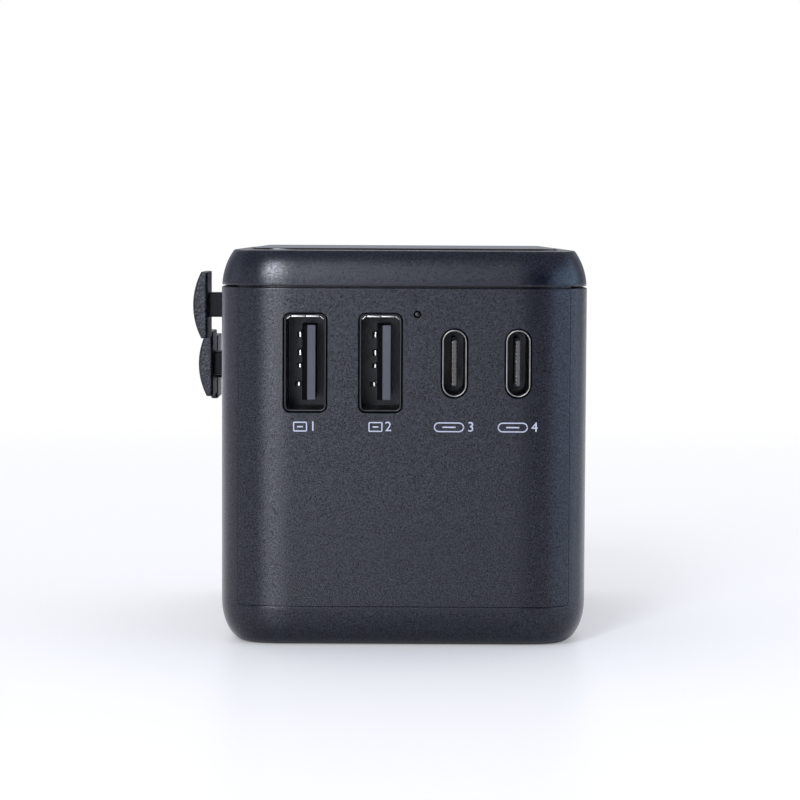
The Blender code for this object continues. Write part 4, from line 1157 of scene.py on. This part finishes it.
def make_world():
    """White to the camera. The object sees a dim studio with a backdrop, side cards and a ceiling light."""
    world = bpy.data.worlds.new("studio_world")
    world.use_nodes = True
    bpy.context.scene.world = world
    tree = world.node_tree
    studio = Surroundings(tree, STUDIO_DIM)
    x, y, z = studio.x, studio.y, studio.z
    studio.patch(STUDIO_FRONT, studio.step(x, 0.22, 0.02))
    studio.patch(STUDIO_LEFT, studio.step(x, -0.45, -0.75))
    studio.patch(STUDIO_STRIP, studio.step(x, -0.56, -0.24), studio.step(x, 0.02, -0.20))
    studio.patch(STUDIO_RIGHT, studio.step(x, 0.42, 0.80))
    studio.patch(STUDIO_HIGH, studio.step(z, 0.30, 0.65))
    studio.patch(STUDIO_BACK, studio.step(y, 0.20, 0.60))
    behind, above = maths_node(tree, "MULTIPLY", y, 0.5), maths_node(tree, "MULTIPLY", z, 0.86)
    overhead = maths_node(tree, "ADD", behind, above)
    studio.patch(STUDIO_OVERHEAD, studio.step(overhead, 0.72, 0.90))
    background = tree.nodes["Background"]
    tree.links.new(studio.light, background.inputs["Color"])
    backdrop = tree.nodes.new("ShaderNodeBackground")
    backdrop.inputs["Color"].default_value = (1.0, 1.0, 1.0, 1)
    rays = tree.nodes.new("ShaderNodeLightPath")
    chosen = tree.nodes.new("ShaderNodeMixShader")
    tree.links.new(rays.outputs["Is Camera Ray"], chosen.inputs[0])
    tree.links.new(background.outputs[0], chosen.inputs[1])
    tree.links.new(backdrop.outputs[0], chosen.inputs[2])
    tree.links.new(chosen.outputs[0], tree.nodes["World Output"].inputs["Surface"])


def make_camera():
    """A long lens, slightly above the front face, looking a little down."""
    aside, distance, height = -0.00053, 0.3987, 0.0561  # in metres, from the middle of the front's foot
    data = bpy.data.cameras.new("camera")
    data.lens = 135.0
    data.sensor_width = 36.0
    camera = scene_object("camera", data)
    camera.location = (aside, FRONT * MM - distance, height)
    pitch, roll = math.radians(90 - 3.3), math.radians(0.27)
    camera.rotation_mode = "XYZ"
    look = Matrix.Rotation(pitch, 4, "X") @ Matrix.Rotation(roll, 4, "Z")
    camera.rotation_euler = look.to_euler()
    bpy.context.scene.camera = camera
    bpy.context.scene.view_settings.view_transform = "Standard"


def dress_cad_nodes():
    """Gives every CAD node that still shows a finished material."""
    for subpart in frame["record"]["subparts"]:
        for holder in frame["nodes"][subpart["node"]].material_slots:
            holder.material = MATERIALS[subpart["material_slot"]]


def main():
    make_stage()
    make_world()
    make_light()
    make_camera()
    dress_cad_nodes()
    make_housing()
    make_front_panel()
    make_top_cover()
    make_socket_plate()
    for port in ("usb_a_1", "usb_a_2"):
        make_usb_a(port)
    for port in ("usb_c_1", "usb_c_2", "usb_c_3"):
        make_usb_c(port)
    make_light_pipe()
    make_marks()
    for plug in ("uk", "eu", "us"):
        make_knob(plug)
    make_uk_pins()
    make_eu_pins()
    make_us_blades()
    make_fuse_cap()
    make_screws()
    make_springs()


main()
